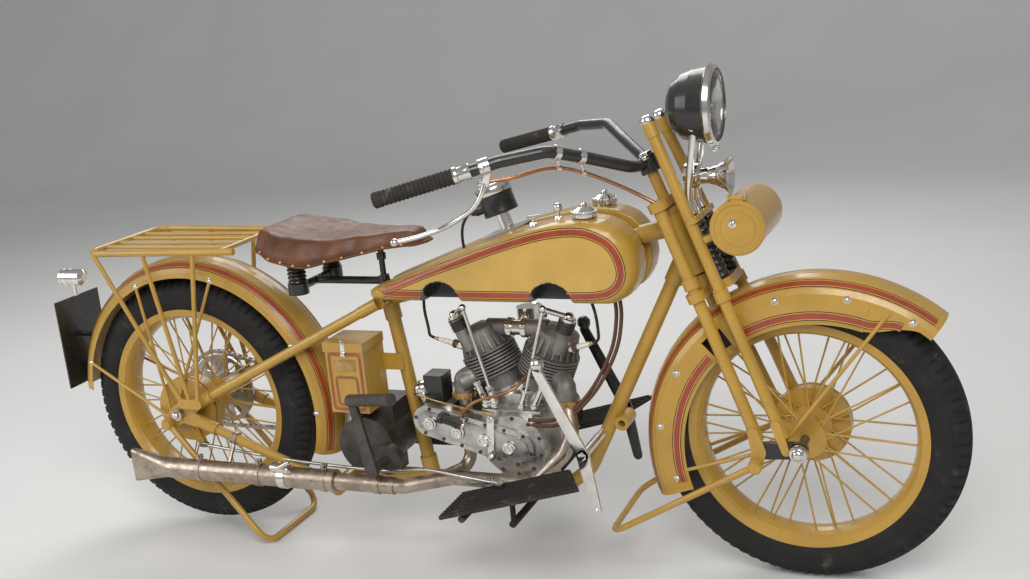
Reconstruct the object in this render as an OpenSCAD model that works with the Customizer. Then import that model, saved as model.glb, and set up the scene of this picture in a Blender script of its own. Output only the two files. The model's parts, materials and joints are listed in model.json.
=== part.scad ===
// Solo motorcycle of the late 1920s: sprung fork, air-cooled V-twin engine, wire wheels,
// valanced front fender, luggage rack, rear stand and front stand.
// Millimetres, +X forward, +Y to the rider's left, +Z up.
// The pieces are laid out with both wheels level. The whole machine is then tipped about its
// front axle until the rear tyre hangs clear of the floor, as it parks on its rear stand.

/* [Wheels] */
// Distance between the axles
wheel_base = 1511; // [1450:1:1560]
// Outside diameter of the tyres
tyre_d = 642; // [620:1:650]
// Width of the tyre section
tyre_w = 98; // [88:1:102]
// Outside diameter of the rim flanges
rim_d = 490; // [470:1:505]
// Width over the rim flanges
rim_w = 80; // [72:1:84]
// Spokes in each wheel
spoke_count = 40; // [32:8:48]
// Gap under the rear tyre on the stand
rear_lift = 18; // [8:1:30]

/* [Steering and fork] */
// Lean of the steering head from upright, in degrees
head_rake = 22.2; // [21:0.1:24]
// Front axle ahead of the steering axis
axle_lead = 71; // [66:1:78]
// Foot of the head lug above the axle, along the steering axis
head_low = 398; // [392:1:415]
// Length of the head lug
head_len = 148; // [140:1:160]
// Radius of the rigid fork legs
rigid_leg_r = 13; // [11:0.5:14]
// Radius of the spring fork legs
spring_leg_r = 12; // [10:0.5:13]
// Half width of the rigid fork at its upper crown
crown_half = 60; // [57:1:64]
// Half width of the spring fork at its caps
cap_half = 46; // [44:1:50]
// Half width of the fork at the axle
foot_half = 105; // [103:1:108]
// Height of the spring fork's caps above the axle, along the steering axis
cap_high = 730; // [710:1:750]

/* [Handlebar] */
// Half width at the ends of the grips
bar_half = 335; // [310:1:350]
// Reach of the bar back from its centre
bar_sweep = 463; // [440:1:475]
// Rise of the bar above its centre
bar_rise = 60; // [45:1:75]
// Radius of the bar
bar_r = 12.5; // [11:0.5:14]

/* [Frame] */
// Radius of the main tubes
tube_r = 16; // [14:0.5:17]
// Radius of the rear stays
stay_r = 12; // [10:0.5:13]
// Seat lug behind the middle of the wheelbase
seat_back = 195; // [188:1:200]
// Seat lug above the axle line
seat_high = 276; // [268:1:284]
// Bottom tube below the axle line
loop_drop = 166; // [163:1:172]
// Half distance between the rear axle lugs
lug_half = 108; // [106:1:112]

/* [Engine] */
// Crank ahead of the middle of the wheelbase
crank_ahead = 122; // [117:1:127]
// Crank below the axle line
crank_drop = 30; // [27:1:33]
// Angle between the cylinders, in degrees
vee_angle = 45; // [44:0.5:46]
// Radius of the crankcase
case_r = 102; // [98:1:105]
// Width of the crankcase
case_w = 104; // [98:1:106]
// Radius of the barrel fins
fin_r = 64; // [60:1:66]
// Fins on each barrel
fin_count = 8; // [6:1:9]
// Distance from the crank to the top of the heads
head_reach = 268; // [264:1:274]

/* [Tank and saddle] */
// Length of the fuel tank
tank_len = 632; // [610:1:640]
// Height of the fuel tank
tank_h = 180; // [170:1:190]
// Half width of the fuel tank
tank_half = 118; // [110:1:124]
// Length of the saddle
saddle_len = 425; // [410:1:435]
// Width of the saddle
saddle_w = 290; // [270:1:300]
// Thickness of the saddle
saddle_h = 86; // [76:1:94]

/* [Fenders and rack] */
// Radius of both fenders over the crown
fender_r = 376; // [373:1:382]
// Width of the fenders
fender_w = 128; // [124:1:130]
// Depth of the front fender's side valance, from the crown
skirt_depth = 94; // [70:1:100]
// Length of the luggage rack
rack_len = 410; // [390:1:425]
// Width of the luggage rack
rack_w = 290; // [280:1:304]

/* [Stands] */
// Lean of the rear stand past upright, in degrees
stand_lean = 38; // [34:1:41]
// Length of the front stand's legs
front_stand_len = 367; // [355:1:375]

/* [Hidden] */
$fn = 48;

// Shared clearances
cut = 2;  // overrun of a cut past the face it opens
run_gap = 0.05;  // radial clearance of a shaft in its bore
seat_gap = 0.3;  // gap between pieces that seat on each other
free_gap = 5;  // gap between pieces that move past each other
sides = [-1, 1];  // right and left

// Colours
paint = "goldenrod";
black = "dimgray";
steel = "silver";
alloy = "lightgray";
iron = "gray";
hide = "saddlebrown";

// Wheel stations
axle_z = tyre_d / 2;
front_x = wheel_base / 2;
rear_x = -wheel_base / 2;
park_pitch = asin(rear_lift / wheel_base);

// Foot of the steering axis: its point nearest the front axle
fork_foot = [front_x - axle_lead * cos(head_rake), 0, axle_z - axle_lead * sin(head_rake)];

// Place of a point of the tipped machine, from its level place
function tipped(p) = [
    front_x + (p.x - front_x) * cos(park_pitch) + (p.z - axle_z) * sin(park_pitch),
    p.y,
    axle_z - (p.x - front_x) * sin(park_pitch) + (p.z - axle_z) * cos(park_pitch)
];
// Level place of a point given ahead of, left of and along the steering axis
function on_fork(ahead, left, along) = fork_foot
    + [ahead * cos(head_rake) - along * sin(head_rake), left,
       ahead * sin(head_rake) + along * cos(head_rake)];

// Tail lamp, which ends the machine at the rear
tail_r = 21;
tail_len = 62;
tail_back = 73;  // lamp's rear face behind the tyre
tail_down = 62;  // lamp's axis below the top of the rear fender
tail_end = [rear_x - axle_z - tail_back, 0, axle_z + fender_r - tail_down];
mid_x = (front_x + axle_z + tipped(tail_end - [0, 0, tail_r]).x) / 2;

module parked() {
    translate([front_x - mid_x, 0, axle_z]) rotate([0, park_pitch, 0])
        translate([-front_x, 0, -axle_z]) children();
}
module fork_frame() {
    translate(fork_foot) rotate([0, -head_rake, 0]) children();
}
module at_front() translate([front_x, 0, axle_z]) children();
module at_rear() translate([rear_x, 0, axle_z]) children();
// Draws a piece of the right side there, or mirrored on the left
module on_side(side) mirror([0, side < 0 ? 0 : 1, 0]) children();

// Vector and outline helpers
function unit(v) = v / norm(v);
function turn_of(a, b, c) = acos(max(-1, min(1, unit(b - a) * unit(c - b))));
function set_back(a, b, c, bend) = bend * tan(turn_of(a, b, c) / 2);
function arc(centre, r, from, to, steps) =
    [for (i = [0 : steps]) let (a = from + (to - from) * i / steps) centre + r * [cos(a), sin(a)]];
// Outline round two circles, by their outer tangents
function belt(c1, r1, c2, r2, steps = 12) = let (
        d = norm(c2 - c1),
        along = atan2(c2.y - c1.y, c2.x - c1.x),
        open = acos((r1 - r2) / d)
    ) concat(arc(c1, r1, along + open, along + 360 - open, steps),
             arc(c2, r2, along - open, along + open, steps));
// The [x, z] of a point
function flat(p) = [p.x, p.z];

// Round bar from a to b
module bar(a, b, r) {
    d = b - a;
    translate(a) rotate([0, acos(d.z / norm(d)), atan2(d.y, d.x)]) cylinder(h = norm(d), r = r);
}
// Part of the line from a to b, as a round bar
module bar_between(a, b, r, skip_a, skip_b) {
    d = unit(b - a);
    bar(a + d * skip_a, b - d * skip_b, r);
}
// Socket of a lug: a round stub from a towards b
module socket(a, b, r, length) bar(a, a + unit(b - a) * length, r);
// Torus piece that turns a bent bar round corner b. It is a hair thinner than the bar and runs
// a little into its straights.
elbow_lap = 1.5;  // degrees
elbow_step = 0.15;
module elbow(a, b, c, r, bend) {
    into = unit(b - a);
    normal = unit(cross(into, unit(c - b)));
    inward = cross(normal, into);
    centre = b - into * set_back(a, b, c, bend) + inward * bend;
    multmatrix([[-inward.x, into.x, normal.x, centre.x],
                [-inward.y, into.y, normal.y, centre.y],
                [-inward.z, into.z, normal.z, centre.z],
                [0, 0, 0, 1]])
        rotate([0, 0, -elbow_lap]) rotate_extrude(angle = turn_of(a, b, c) + 2 * elbow_lap)
            translate([bend, 0]) circle(r = r - elbow_step);
}
// Bar through a list of points, with round bends at the corners
module bent_bar(points, r, bend) {
    last = len(points) - 1;
    for (i = [0 : last - 1]) {
        d = unit(points[i + 1] - points[i]);
        from = i == 0 ? points[i]
            : points[i] + d * set_back(points[i - 1], points[i], points[i + 1], bend);
        to = i == last - 1 ? points[last]
            : points[i + 1] - d * set_back(points[i], points[i + 1], points[i + 2], bend);
        bar(from, to, r);
        if (i > 0) elbow(points[i - 1], points[i], points[i + 1], r, bend);
    }
}
// Round piece along Y, from y_from to y_to, at a place [x, z]
module cross_bar(at, y_from, y_to, r) {
    translate([at.x, y_from, at.y]) rotate([-90, 0, 0]) cylinder(h = y_to - y_from, r = r);
}
// Round piece along X, from x_from to x_to
module long_bar(x_from, x_to, y, z, r) {
    translate([x_from, y, z]) rotate([0, 90, 0]) cylinder(h = x_to - x_from, r = r);
}
// Plate in the XZ plane, from y_from to y_to
module side_plate(points, y_from, y_to) {
    translate([0, y_to, 0]) rotate([90, 0, 0])
        linear_extrude(height = y_to - y_from) polygon(points);
}
// Ring about the Y axis from a half section of [radius, y] points
module turned(points) rotate([-90, 0, 0]) rotate_extrude() polygon(points);
// Body of revolution along X from [radius, x] points
module turned_long(points) rotate([0, 90, 0]) rotate_extrude() polygon(points);
// Close-wound spring along Z: a core with a round ridge for each coil
module coil(length, r, wire_r, turns) {
    pitch = length / turns;
    steps = 6;
    rotate_extrude() polygon(concat([[0, 0]],
        [for (i = [0 : turns - 1]) for (k = [0 : steps - 1])
            [r - wire_r + wire_r * sin(180 * k / steps), (i + k / steps) * pitch]],
        [[r - wire_r, length], [0, length]]));
}

// Wheels
axle_r = 9;
rim_wall = 3;
rim_well = 20;  // depth of the rim's round well
hub_r = 24;
hub_half = 42;  // half length of the hub over its flanges
flange_r = 44;
flange_w = 5;
spoke_r = 2;
spoke_lap_share = 2.4;  // spoke's swing at the rim, in spoke pitches
rim_spread = 9;  // half distance between the two rows of nipples
drum_r = 82;
drum_wall = 5;
rear_drum_w = 30;
front_drum_w = 22;
nut_r = 15;
nut_h = 14;

module tyre() color(black) {
    section_r = tyre_w / 2;
    bead_r = rim_d / 2 - rim_wall;
    bead_half = rim_w / 2 - rim_wall - seat_gap;
    rotate([-90, 0, 0]) rotate_extrude() difference() {
        translate([axle_z - section_r, 0]) circle(r = section_r);
        translate([0, -tyre_w]) square([bead_r, 2 * tyre_w]);
        for (s = sides) translate([0, s * (bead_half + section_r) - section_r])
            square([rim_d / 2 + seat_gap, tyre_w]);
    }
}
// Rim's half section: a round well between two flanges
function rim_section() = let (
        half = rim_w / 2,
        top = rim_d / 2,
        bed = top - 2 * rim_wall,
        steps = 8
    ) concat(
        [[top, -half], [top, -half + rim_wall], [bed, -half + rim_wall]],
        [[bed, half - rim_wall], [top, half - rim_wall], [top, half]],
        [for (i = [1 : steps - 1]) let (a = 180 * i / steps)
            [bed - rim_wall - rim_well * sin(a), half * cos(a)]]);
// Wheel with laced spokes, and a brake drum on the side given
module wire_wheel(drum_side, drum_w) color(paint) {
    pitch = 360 / spoke_count;
    flange_y = hub_half - flange_w / 2 - spoke_r / 2;
    root_r = flange_r - flange_w;
    rim_in = rim_d / 2 - 3 * rim_wall - rim_well / 2;
    turned(rim_section());
    difference() {
        union() {
            turned([[0, -hub_half], [flange_r, -hub_half], [flange_r, -hub_half + flange_w],
                    [hub_r, -hub_half + 2 * flange_w], [hub_r, hub_half - 2 * flange_w],
                    [flange_r, hub_half - flange_w], [flange_r, hub_half], [0, hub_half]]);
            on_side(drum_side) cross_bar([0, 0], -hub_half - drum_w, -hub_half + seat_gap, drum_r);
        }
        cross_bar([0, 0], -hub_half - drum_w - cut, hub_half + drum_w + cut, axle_r + run_gap);
        on_side(drum_side) cross_bar([0, 0], -hub_half - drum_w - cut, -hub_half - drum_wall,
                                     drum_r - drum_wall);
    }
    for (i = [0 : spoke_count - 1]) {
        side = i % 2 == 0 ? -1 : 1;
        lead = floor(i / 2) % 2 == 0 ? 1 : -1;
        at_hub = i * pitch;
        at_rim = at_hub + lead * pitch * spoke_lap_share;
        bar([root_r * cos(at_hub), side * (flange_y + lead * spoke_r / 2), root_r * sin(at_hub)],
            [rim_in * cos(at_rim), side * rim_spread, rim_in * sin(at_rim)], spoke_r);
    }
}
module front_tyre() at_front() tyre();
module rear_tyre() at_rear() tyre();
module front_wheel() at_front() wire_wheel(1, front_drum_w);
module rear_wheel() at_rear() wire_wheel(-1, rear_drum_w);

// Rear sprocket on the left, with the chain's line
teeth = 40;
chain_pitch = 15.9;
sprocket_r = chain_pitch / (2 * sin(180 / teeth));
sprocket_w = 6;
sprocket_out = 34;  // sprocket's outer face outside the hub
chain_half = 5;  // half height of the chain's plates
chain_w = 14;
chain_y = hub_half + sprocket_out - sprocket_w / 2;
sprocket_hole_r = 13;
module rear_sprocket() at_rear() color(steel) difference() {
    union() {
        cross_bar([0, 0], hub_half, hub_half + sprocket_out, flange_r);
        cross_bar([0, 0], hub_half + sprocket_out - sprocket_w, hub_half + sprocket_out,
                  sprocket_r - chain_half - free_gap);
    }
    cross_bar([0, 0], hub_half - cut, hub_half + sprocket_out + cut, axle_r + run_gap);
    for (a = [0 : 60 : 300])
        cross_bar((flange_r + sprocket_r - chain_half - free_gap) / 2 * [cos(a), sin(a)],
                  hub_half + flange_w, hub_half + sprocket_out + cut, sprocket_hole_r);
}

// Frame
stub_len = 52;  // reach of a lug's socket along its tube
stub_wall = 4;
head_r = 26;
stem_r = 12;
cup_h = 12;  // bearing cups of the head lug
top_socket_up = 106; // sockets above the foot of the head lug
low_socket_up = 53;
bend_back = 486;  // lower bend of the down tube behind the front axle
bend_drop = 118;  // and below the axle line
bend_run = 60;  // length of the piece between the two lower bends
loop_bend = 70;
loop_tail = 140;  // rear cross tube behind the seat lug
seat_lean = 62;  // foot of the seat tube ahead of the seat lug
cross_half = 112;  // half length of the rear cross tube
stay_half = 56;  // half distance of the upper stays at the seat lug
lug_t = 10;
lug_r = 24;  // axle lug round the axle
lug_eye_r = 16;
eye_ahead = 52;  // stay sockets ahead of the axle
upper_up = 26;
lower_down = 20;
pivot_back = 34;  // rear stand's pivot behind and below the axle
pivot_down = 26;
pivot_lug_r = 20;
sidecar_bore_r = 8;
sidecar_half = 30;
sidecar_up = 150;  // sidecar lug above the lower bend, along the down tube

seat_lug = [-seat_back, 0, axle_z + seat_high];
loop_z = axle_z - loop_drop;
loop_front = [front_x - bend_back, 0, axle_z - bend_drop];
loop_rear = [-seat_back - loop_tail, 0, loop_z];
seat_foot = [-seat_back + seat_lean, 0, loop_z];
head_top = on_fork(0, 0, head_low + top_socket_up);
head_bottom = on_fork(0, 0, head_low + low_socket_up);
down_dir = unit(head_bottom - loop_front);
sidecar_eye = loop_front + down_dir * sidecar_up
    + cross([0, 1, 0], down_dir) * (tube_r + sidecar_bore_r + cut);
stand_pivot = [rear_x - pivot_back, 0, axle_z - pivot_down];
function stay_root(side) = [seat_lug.x, side * stay_half, seat_lug.z];
function upper_eye(side) = [rear_x + eye_ahead, side * lug_half, axle_z + upper_up];
function lower_eye(side) = [rear_x + eye_ahead, side * lug_half, axle_z - lower_down];
function cross_root(side) = [loop_rear.x, side * (cross_half - stay_r), loop_rear.z];
// Place on the down tube at a height
function down_x(z) = loop_front.x + (z - loop_front.z) * down_dir.x / down_dir.z;

module steering_head() color(paint) difference() {
    union() {
        fork_frame() {
            translate([0, 0, head_low]) cylinder(h = head_len, r = head_r);
            for (w = [head_low, head_low + head_len - cup_h])
                translate([0, 0, w]) cylinder(h = cup_h, r = head_r + stub_wall);
        }
        socket(head_top, seat_lug, tube_r + stub_wall, stub_len + head_r);
        socket(head_bottom, loop_front, tube_r + stub_wall, stub_len + head_r);
    }
    fork_frame() translate([0, 0, head_low - cut])
        cylinder(h = head_len + 2 * cut, r = stem_r + run_gap);
}
module top_tube() color(paint)
    bar_between(head_top, seat_lug, tube_r, head_r + stub_len, tube_r + stub_len);
module down_tube() color(paint) {
    bent_bar([head_bottom - down_dir * (head_r + stub_len), loop_front,
              [loop_front.x - bend_run, 0, loop_z], loop_rear], tube_r, loop_bend);
    cross_bar(flat(loop_rear), -cross_half, cross_half, tube_r + stub_wall);
    socket(seat_foot, seat_lug, tube_r + stub_wall, stub_len);
    for (side = sides) socket(cross_root(side), lower_eye(side), stay_r + stub_wall / 2, stub_len);
    difference() {
        cross_bar(flat(sidecar_eye), -sidecar_half, sidecar_half, sidecar_bore_r + 2 * stub_wall);
        cross_bar(flat(sidecar_eye), -sidecar_half - cut, sidecar_half + cut, sidecar_bore_r);
    }
}
module seat_tube() color(paint) {
    bar_between(seat_lug, seat_foot, tube_r, 0, stub_len);
    bar_between(seat_lug, seat_foot, tube_r + stub_wall, -stub_len / 2,
                norm(seat_foot - seat_lug) - stub_len);
    socket(seat_lug, head_top, tube_r + stub_wall, tube_r + stub_len);
    cross_bar(flat(seat_lug), -stay_half, stay_half, stay_r + stub_wall);
    for (side = sides) socket(stay_root(side), upper_eye(side), stay_r + stub_wall / 2, stub_len);
}
module rear_stays() color(paint) for (side = sides) {
    bar_between(stay_root(side), upper_eye(side), stay_r, stub_len, stub_len);
    bar_between(cross_root(side), lower_eye(side), stay_r, stub_len, stub_len);
}
module axle_lugs() color(paint) for (side = sides) {
    y0 = side * lug_half - lug_t / 2;
    difference() {
        union() {
            side_plate(belt([rear_x, axle_z], lug_r, flat(stand_pivot), pivot_lug_r), y0, y0 + lug_t);
            for (eye = [upper_eye(side), lower_eye(side)])
                side_plate(belt([rear_x, axle_z], lug_r, flat(eye), lug_eye_r), y0, y0 + lug_t);
            socket(upper_eye(side), stay_root(side), stay_r + stub_wall, stub_len);
            socket(lower_eye(side), cross_root(side), stay_r + stub_wall, stub_len);
        }
        cross_bar([rear_x, axle_z], y0 - cut, y0 + lug_t + cut, axle_r + run_gap);
    }
    on_side(side) stand_pin(flat(stand_pivot), lug_half + lug_t / 2);
}
module rear_axle() at_rear() color(steel) {
    cross_bar([0, 0], -lug_half - lug_t / 2 - nut_h - cut, lug_half + lug_t / 2 + nut_h + cut, axle_r);
    for (side = sides) on_side(side) translate([0, -lug_half - lug_t / 2 - seat_gap, 0])
        rotate([90, 0, 0]) cylinder(h = nut_h, r = nut_r, $fn = 6);
}

// Stands: a bent bar with eyes that turn on pins
stand_leg_r = 8;
front_leg_r = 7;
pin_r = 7;
pin_head_r = 12;
eye_r = 15;
eye_w = 17;
end_float = 0.5;  // end float of an eye on its pin
stand_bend = 40;
stand_y = lug_half + lug_t / 2 + end_float + eye_w / 2;
pivot_at = tipped(stand_pivot);
stand_len = (pivot_at.z - stand_leg_r) / cos(stand_lean);

// Pin of a stand's eye, outward to the right from a face at y
module stand_pin(at, face) {
    out = face + eye_w + 2 * end_float;
    cross_bar(at, -out - pin_r / 2, -face + lug_t / 2, pin_r);
    cross_bar(at, -out - pin_r / 2, -out, pin_head_r);
}
module stand_frame(half, length, leg_r) difference() {
    union() {
        bent_bar([[0, -half, -eye_r / 2], [0, -half, -length], [0, half, -length],
                  [0, half, -eye_r / 2]], leg_r, stand_bend);
        for (side = sides) cross_bar([0, 0], side * half - eye_w / 2, side * half + eye_w / 2, eye_r);
    }
    cross_bar([0, 0], -2 * half, 2 * half, pin_r + run_gap);
}
module rear_stand() color(paint) translate(pivot_at - [mid_x, 0, 0])
    rotate([0, -stand_lean, 0]) stand_frame(stand_y, stand_len, stand_leg_r);

// Fuel tanks on each side of the top tube
tank_in = tube_r + stub_wall + seat_gap;  // tanks lie against the sockets of the top tube
tank_lift = 3;  // tanks above the seat lug
tank_z = axle_z + seat_high + stay_r + stub_wall + tank_lift;
tank_skin = 1;  // thickness of the hull's slices
notch_share = 0.187;  // radius of the hollows over the rocker arms, of the reach of the heads
notch_in = 58;  // inner end of the hollows from the centre line
notch_out_share = 1.25;  // place of the hollows, in head offsets
// Side outline: share of the length from the rear tip, share of the height
tank_shares = [
    [0.00, 0.03], [0.05, 0.00], [0.92, 0.00], [0.965, 0.09], [0.99, 0.24], [1.00, 0.40],
    [0.995, 0.58], [0.975, 0.75], [0.94, 0.89], [0.89, 0.97], [0.82, 1.00], [0.72, 0.97],
    [0.58, 0.86], [0.42, 0.68], [0.18, 0.36], [0.00, 0.12]
];
tank_mid_shares = [0.56, 0.42];
// Share of the half's depth from the inner face, size share of the outline there
tank_round_shares = [[0, 1], [0.52, 1], [0.74, 0.985], [0.89, 0.945], [0.97, 0.88], [1, 0.80]];
slope_share_a = tank_shares[12];
slope_share_b = tank_shares[13];
function tank_point(share) = [-seat_back + share.x * tank_len, tank_z + share.y * tank_h];
module tank_half_solid(side) hull() for (row = tank_round_shares) {
    y = side * (tank_in + (tank_half - tank_in - tank_skin) * row[0]);
    side_plate([for (p = tank_shares) tank_point(tank_mid_shares + (p - tank_mid_shares) * row[1])],
               side < 0 ? y - tank_skin : y, side < 0 ? y : y + tank_skin);
}
module tank_right() color(paint) difference() {
    tank_half_solid(-1);
    for (s = [-1, 1])
        cross_bar([crank_ahead + s * head_reach * sin(vee_angle / 2) * notch_out_share, tank_z],
                  -tank_half - cut, -notch_in, head_reach * notch_share);
}
module tank_left() color(paint) tank_half_solid(1);

// Filler caps, and the drum of the speedometer on its bracket
cap_r = 24;
cap_h = 14;
cap_flat_share = 0.82;
base_len = 96;
base_w = 74;
base_t = 4;
base_share = 0.5;  // bracket's place along the slope of the tank's top
drum_out_r = 38;
drum_h = 62;
drum_up = 40;  // drum's foot above the bracket
post_r = 15;
slope_a = tank_point(slope_share_a);
slope_b = tank_point(slope_share_b);
slope_angle = atan2(slope_a.y - slope_b.y, slope_a.x - slope_b.x);
slope_at = slope_b + (slope_a - slope_b) * base_share;
module tank_fittings() color(steel) {
    for (side = sides) translate([-seat_back + cap_flat_share * tank_len,
            side * (tank_in + tank_half) / 2 , tank_z + tank_h + seat_gap]) {
        cylinder(h = cap_h, r = cap_r);
        translate([0, 0, cap_h]) cylinder(h = cap_h / 2, r1 = cap_r, r2 = cap_r / 2);
    }
    translate([slope_at.x, 0, slope_at.y]) rotate([0, -slope_angle, 0]) {
        translate([-base_len / 2, -base_w / 2, seat_gap]) cube([base_len, base_w, base_t]);
        translate([0, 0, seat_gap]) cylinder(h = drum_up + base_t, r = post_r);
        translate([0, 0, drum_up]) cylinder(h = drum_h, r = drum_out_r);
    }
}

// Saddle on its post, bar and springs
saddle_up = 375;  // saddle's underside above the axle line
saddle_tail = 300;  // saddle's rear end behind the seat lug
saddle_nose_r = 38;
saddle_edge = 34;  // height of the saddle's widest line above its underside
saddle_tuck_share = 0.86;  // width of the underside and of the top
nose_down_share = 0.22;  // nose's top below the saddle's top
spring_out = 78;  // rear springs from the centre line
spring_in = 110;  // rear springs ahead of the saddle's rear end
saddle_spring_r = 22;
saddle_wire_r = 5;
saddle_spring_h = 50;
saddle_bar_r = 9;
post_rise_r = 13;
saddle_z = axle_z + saddle_up;
saddle_back = -seat_back - saddle_tail;
module saddle() color(hide) hull() {
    wide = saddle_w / 2;
    translate([saddle_back + wide, 0, saddle_z]) {
        cylinder(h = saddle_h, r = wide * saddle_tuck_share);
        translate([0, 0, saddle_edge]) cylinder(h = saddle_edge / 2, r = wide);
    }
    translate([saddle_back + saddle_len - saddle_nose_r, 0, saddle_z + saddle_h * nose_down_share])
        cylinder(h = saddle_h * (1 - 2 * nose_down_share), r = saddle_nose_r);
}
module seat_post() color(black) {
    top = saddle_z - seat_gap;
    bar_z = top - saddle_spring_h - saddle_bar_r;
    spring_x = saddle_back + spring_in;
    rise = unit(seat_lug - seat_foot);
    post_foot = seat_lug + rise * (stub_len / 2 + seat_gap);
    post_top = post_foot + rise * (bar_z + post_rise_r - post_foot.z) / rise.z;
    bar(post_foot, post_top, post_rise_r);
    long_bar(spring_x, post_top.x, 0, bar_z, saddle_bar_r);
    bar([post_top.x, 0, bar_z], [post_top.x, 0, top], saddle_bar_r - cut);
    cross_bar([spring_x, bar_z], -spring_out, spring_out, saddle_bar_r + cut / 2);
    for (side = sides) translate([spring_x, side * spring_out, bar_z]) {
        translate([0, 0, -post_rise_r]) cylinder(h = 2 * post_rise_r, r = saddle_spring_r + cut);
        translate([0, 0, post_rise_r]) coil(top - bar_z - post_rise_r, saddle_spring_r, saddle_wire_r, 5);
    }
}

// Battery box behind the seat tube, on a bracket against it
battery_len = 98;
battery_w = 98;
battery_h = 150;
battery_lid_h = 22;
battery_lip = 3;
battery_up = 30;  // box above the axle line
battery_gap = 20;  // box behind the seat lug
bracket_t = 4;
bracket_len = 52;
bracket_h = 40;
module battery_box() color(paint) {
    y0 = -tube_r - bracket_t - seat_gap - battery_w;
    translate([-seat_back - battery_gap - battery_len, y0, axle_z + battery_up]) {
        cube([battery_len, battery_w, battery_h]);
        translate([-battery_lip, -battery_lip, battery_h - battery_lip])
            cube([battery_len + 2 * battery_lip, battery_w + battery_lip, battery_lid_h]);
        translate([battery_len - battery_lip, battery_w, battery_h / 2])
            cube([bracket_len, bracket_t, bracket_h]);
        translate([battery_len - battery_lip, battery_w - bracket_t, battery_h / 2])
            cube([battery_lip * 2, 2 * bracket_t, bracket_h]);
    }
}

// Engine: crankcase with a timing chest on its right
chest_ahead = 8;  // timing disc ahead of the crank
chest_drop = 4;
chest_r = 72;
chest_w = 32;
cover_w = 16;
oval_back = 196;  // rear end of the oval chest behind the crank, and above it
oval_up = 46;
oval_back_r = 36;
oval_front = 14;
oval_front_r = 42;
oval_drop = 8;
oval_w = 18;
boss_h = 6;
boss_r = 15;
boss_shares = [0.04, 0.36, 0.66, 0.94];  // cam bosses along the oval
deck_r = 47;  // cylinder decks on the crankcase
deck_h = 12;
mount_len = 44;  // engine feet on the bottom tube
mount_half = 19;
tappet_len = 140;  // tappet block over the timing chest
tappet_h = 30;
tappet_up = 44;

crank = [crank_ahead, 0, axle_z - crank_drop];
chest_face = -case_w / 2 - chest_w;
chest_at = [crank.x + chest_ahead, crank.z - chest_drop];
oval_a = [crank.x - oval_back, crank.z + oval_up];
oval_b = [crank.x + oval_front, crank.z - oval_drop];
module crankcase() color(alloy) {
    cross_bar(flat(crank), -case_w / 2, case_w / 2, case_r);
    cross_bar(chest_at, chest_face, -case_w / 2 + seat_gap, chest_r);
    side_plate(belt(oval_a, oval_back_r, oval_b, oval_front_r), chest_face, chest_face + oval_w);
    translate([crank.x - tappet_len / 2, chest_face, crank.z + tappet_up])
        cube([tappet_len, chest_w + cut, tappet_h]);
    for (s = [-1, 1]) translate(crank) rotate([0, s * vee_angle / 2, 0])
        cylinder(h = case_r + deck_h, r = deck_r);
    for (s = [-1, 1]) translate([crank.x + s * mount_len - mount_len / 2, -mount_half,
                                 loop_z + tube_r + seat_gap])
        cube([mount_len, 2 * mount_half, case_r / 2]);
}
module timing_cover() color(alloy) {
    face = chest_face - seat_gap;
    cross_bar(chest_at, face - cover_w, face, chest_r);
    side_plate(belt(oval_a, oval_back_r, oval_b, oval_front_r), face - cover_w - boss_h, face);
    for (share = boss_shares) cross_bar(oval_a + (oval_b - oval_a) * share,
                                        face - cover_w - 2 * boss_h, face, boss_r);
}

// One cylinder, drawn upright over the crank: barrel, fins, head with upright ribs, valve tower
vee_gap = 1.5;  // half gap between the barrels, low in the vee
barrel_r = 46;
barrel_share = 0.61;  // barrel, of the height from the deck to the top of the head
plain_share = 0.36;  // plain foot, of the barrel
head_r_low = 60;
head_core_r = 48;
rib_count = 20;
rib_t = 3.5;
dome_h = 14;
tower_r = 17;
tower_h = 34;
tower_y = 36;  // valve tower to the right of the cylinder's axis
tower_out = 20;  // and away from the vee
port_r = 20;  // inlet port, towards the vee
inlet_drop = 8;  // inlet below the top of the head
exhaust_r = 21;  // exhaust port, away from the vee
exhaust_up = 60;  // exhaust port above the crankcase
exhaust_out = 72;  // its end from the cylinder's axis
exhaust_right = 58;
inlet_half = 24;  // half length of the inlet manifold
barrel_foot = case_r + deck_h + seat_gap;
barrel_h = (head_reach - barrel_foot) * barrel_share;
barrel_plain = barrel_h * plain_share;
fin_stack = barrel_h - barrel_plain;
head_foot = barrel_foot + barrel_h;
inlet_z = crank.z + (head_reach - inlet_drop) * cos(vee_angle / 2);
// Point at a height along a cylinder, out from the vee and to the right
function on_cylinder(s, up, out, right) = crank
    + [s * (up * sin(vee_angle / 2) + out * cos(vee_angle / 2)), -right,
       up * cos(vee_angle / 2) - out * sin(vee_angle / 2)];
module upright_cylinder(s) {
    fin_pitch = fin_stack / fin_count;
    translate([0, 0, barrel_foot]) cylinder(h = barrel_h, r = barrel_r);
    for (i = [0 : fin_count - 1]) translate([0, 0, barrel_foot + barrel_plain + i * fin_pitch])
        cylinder(h = fin_pitch / 2, r = fin_r);
    translate([0, 0, head_foot - fin_pitch / 2])
        cylinder(h = head_reach - dome_h - head_foot + fin_pitch / 2, r = head_core_r);
    translate([0, 0, head_reach - dome_h]) cylinder(h = dome_h, r1 = head_core_r, r2 = tower_r);
    for (i = [0 : rib_count / 2 - 1]) rotate([0, 0, 180 * i / (rib_count / 2)])
        side_plate([[-head_r_low, head_foot], [head_r_low, head_foot],
                    [head_core_r - cut, head_reach - dome_h],
                    [cut - head_core_r, head_reach - dome_h]],
                   -rib_t / 2, rib_t / 2);
    translate([s * tower_out, -tower_y, head_foot + dome_h])
        cylinder(h = head_reach - head_foot - dome_h + tower_h, r = tower_r);
}
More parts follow.
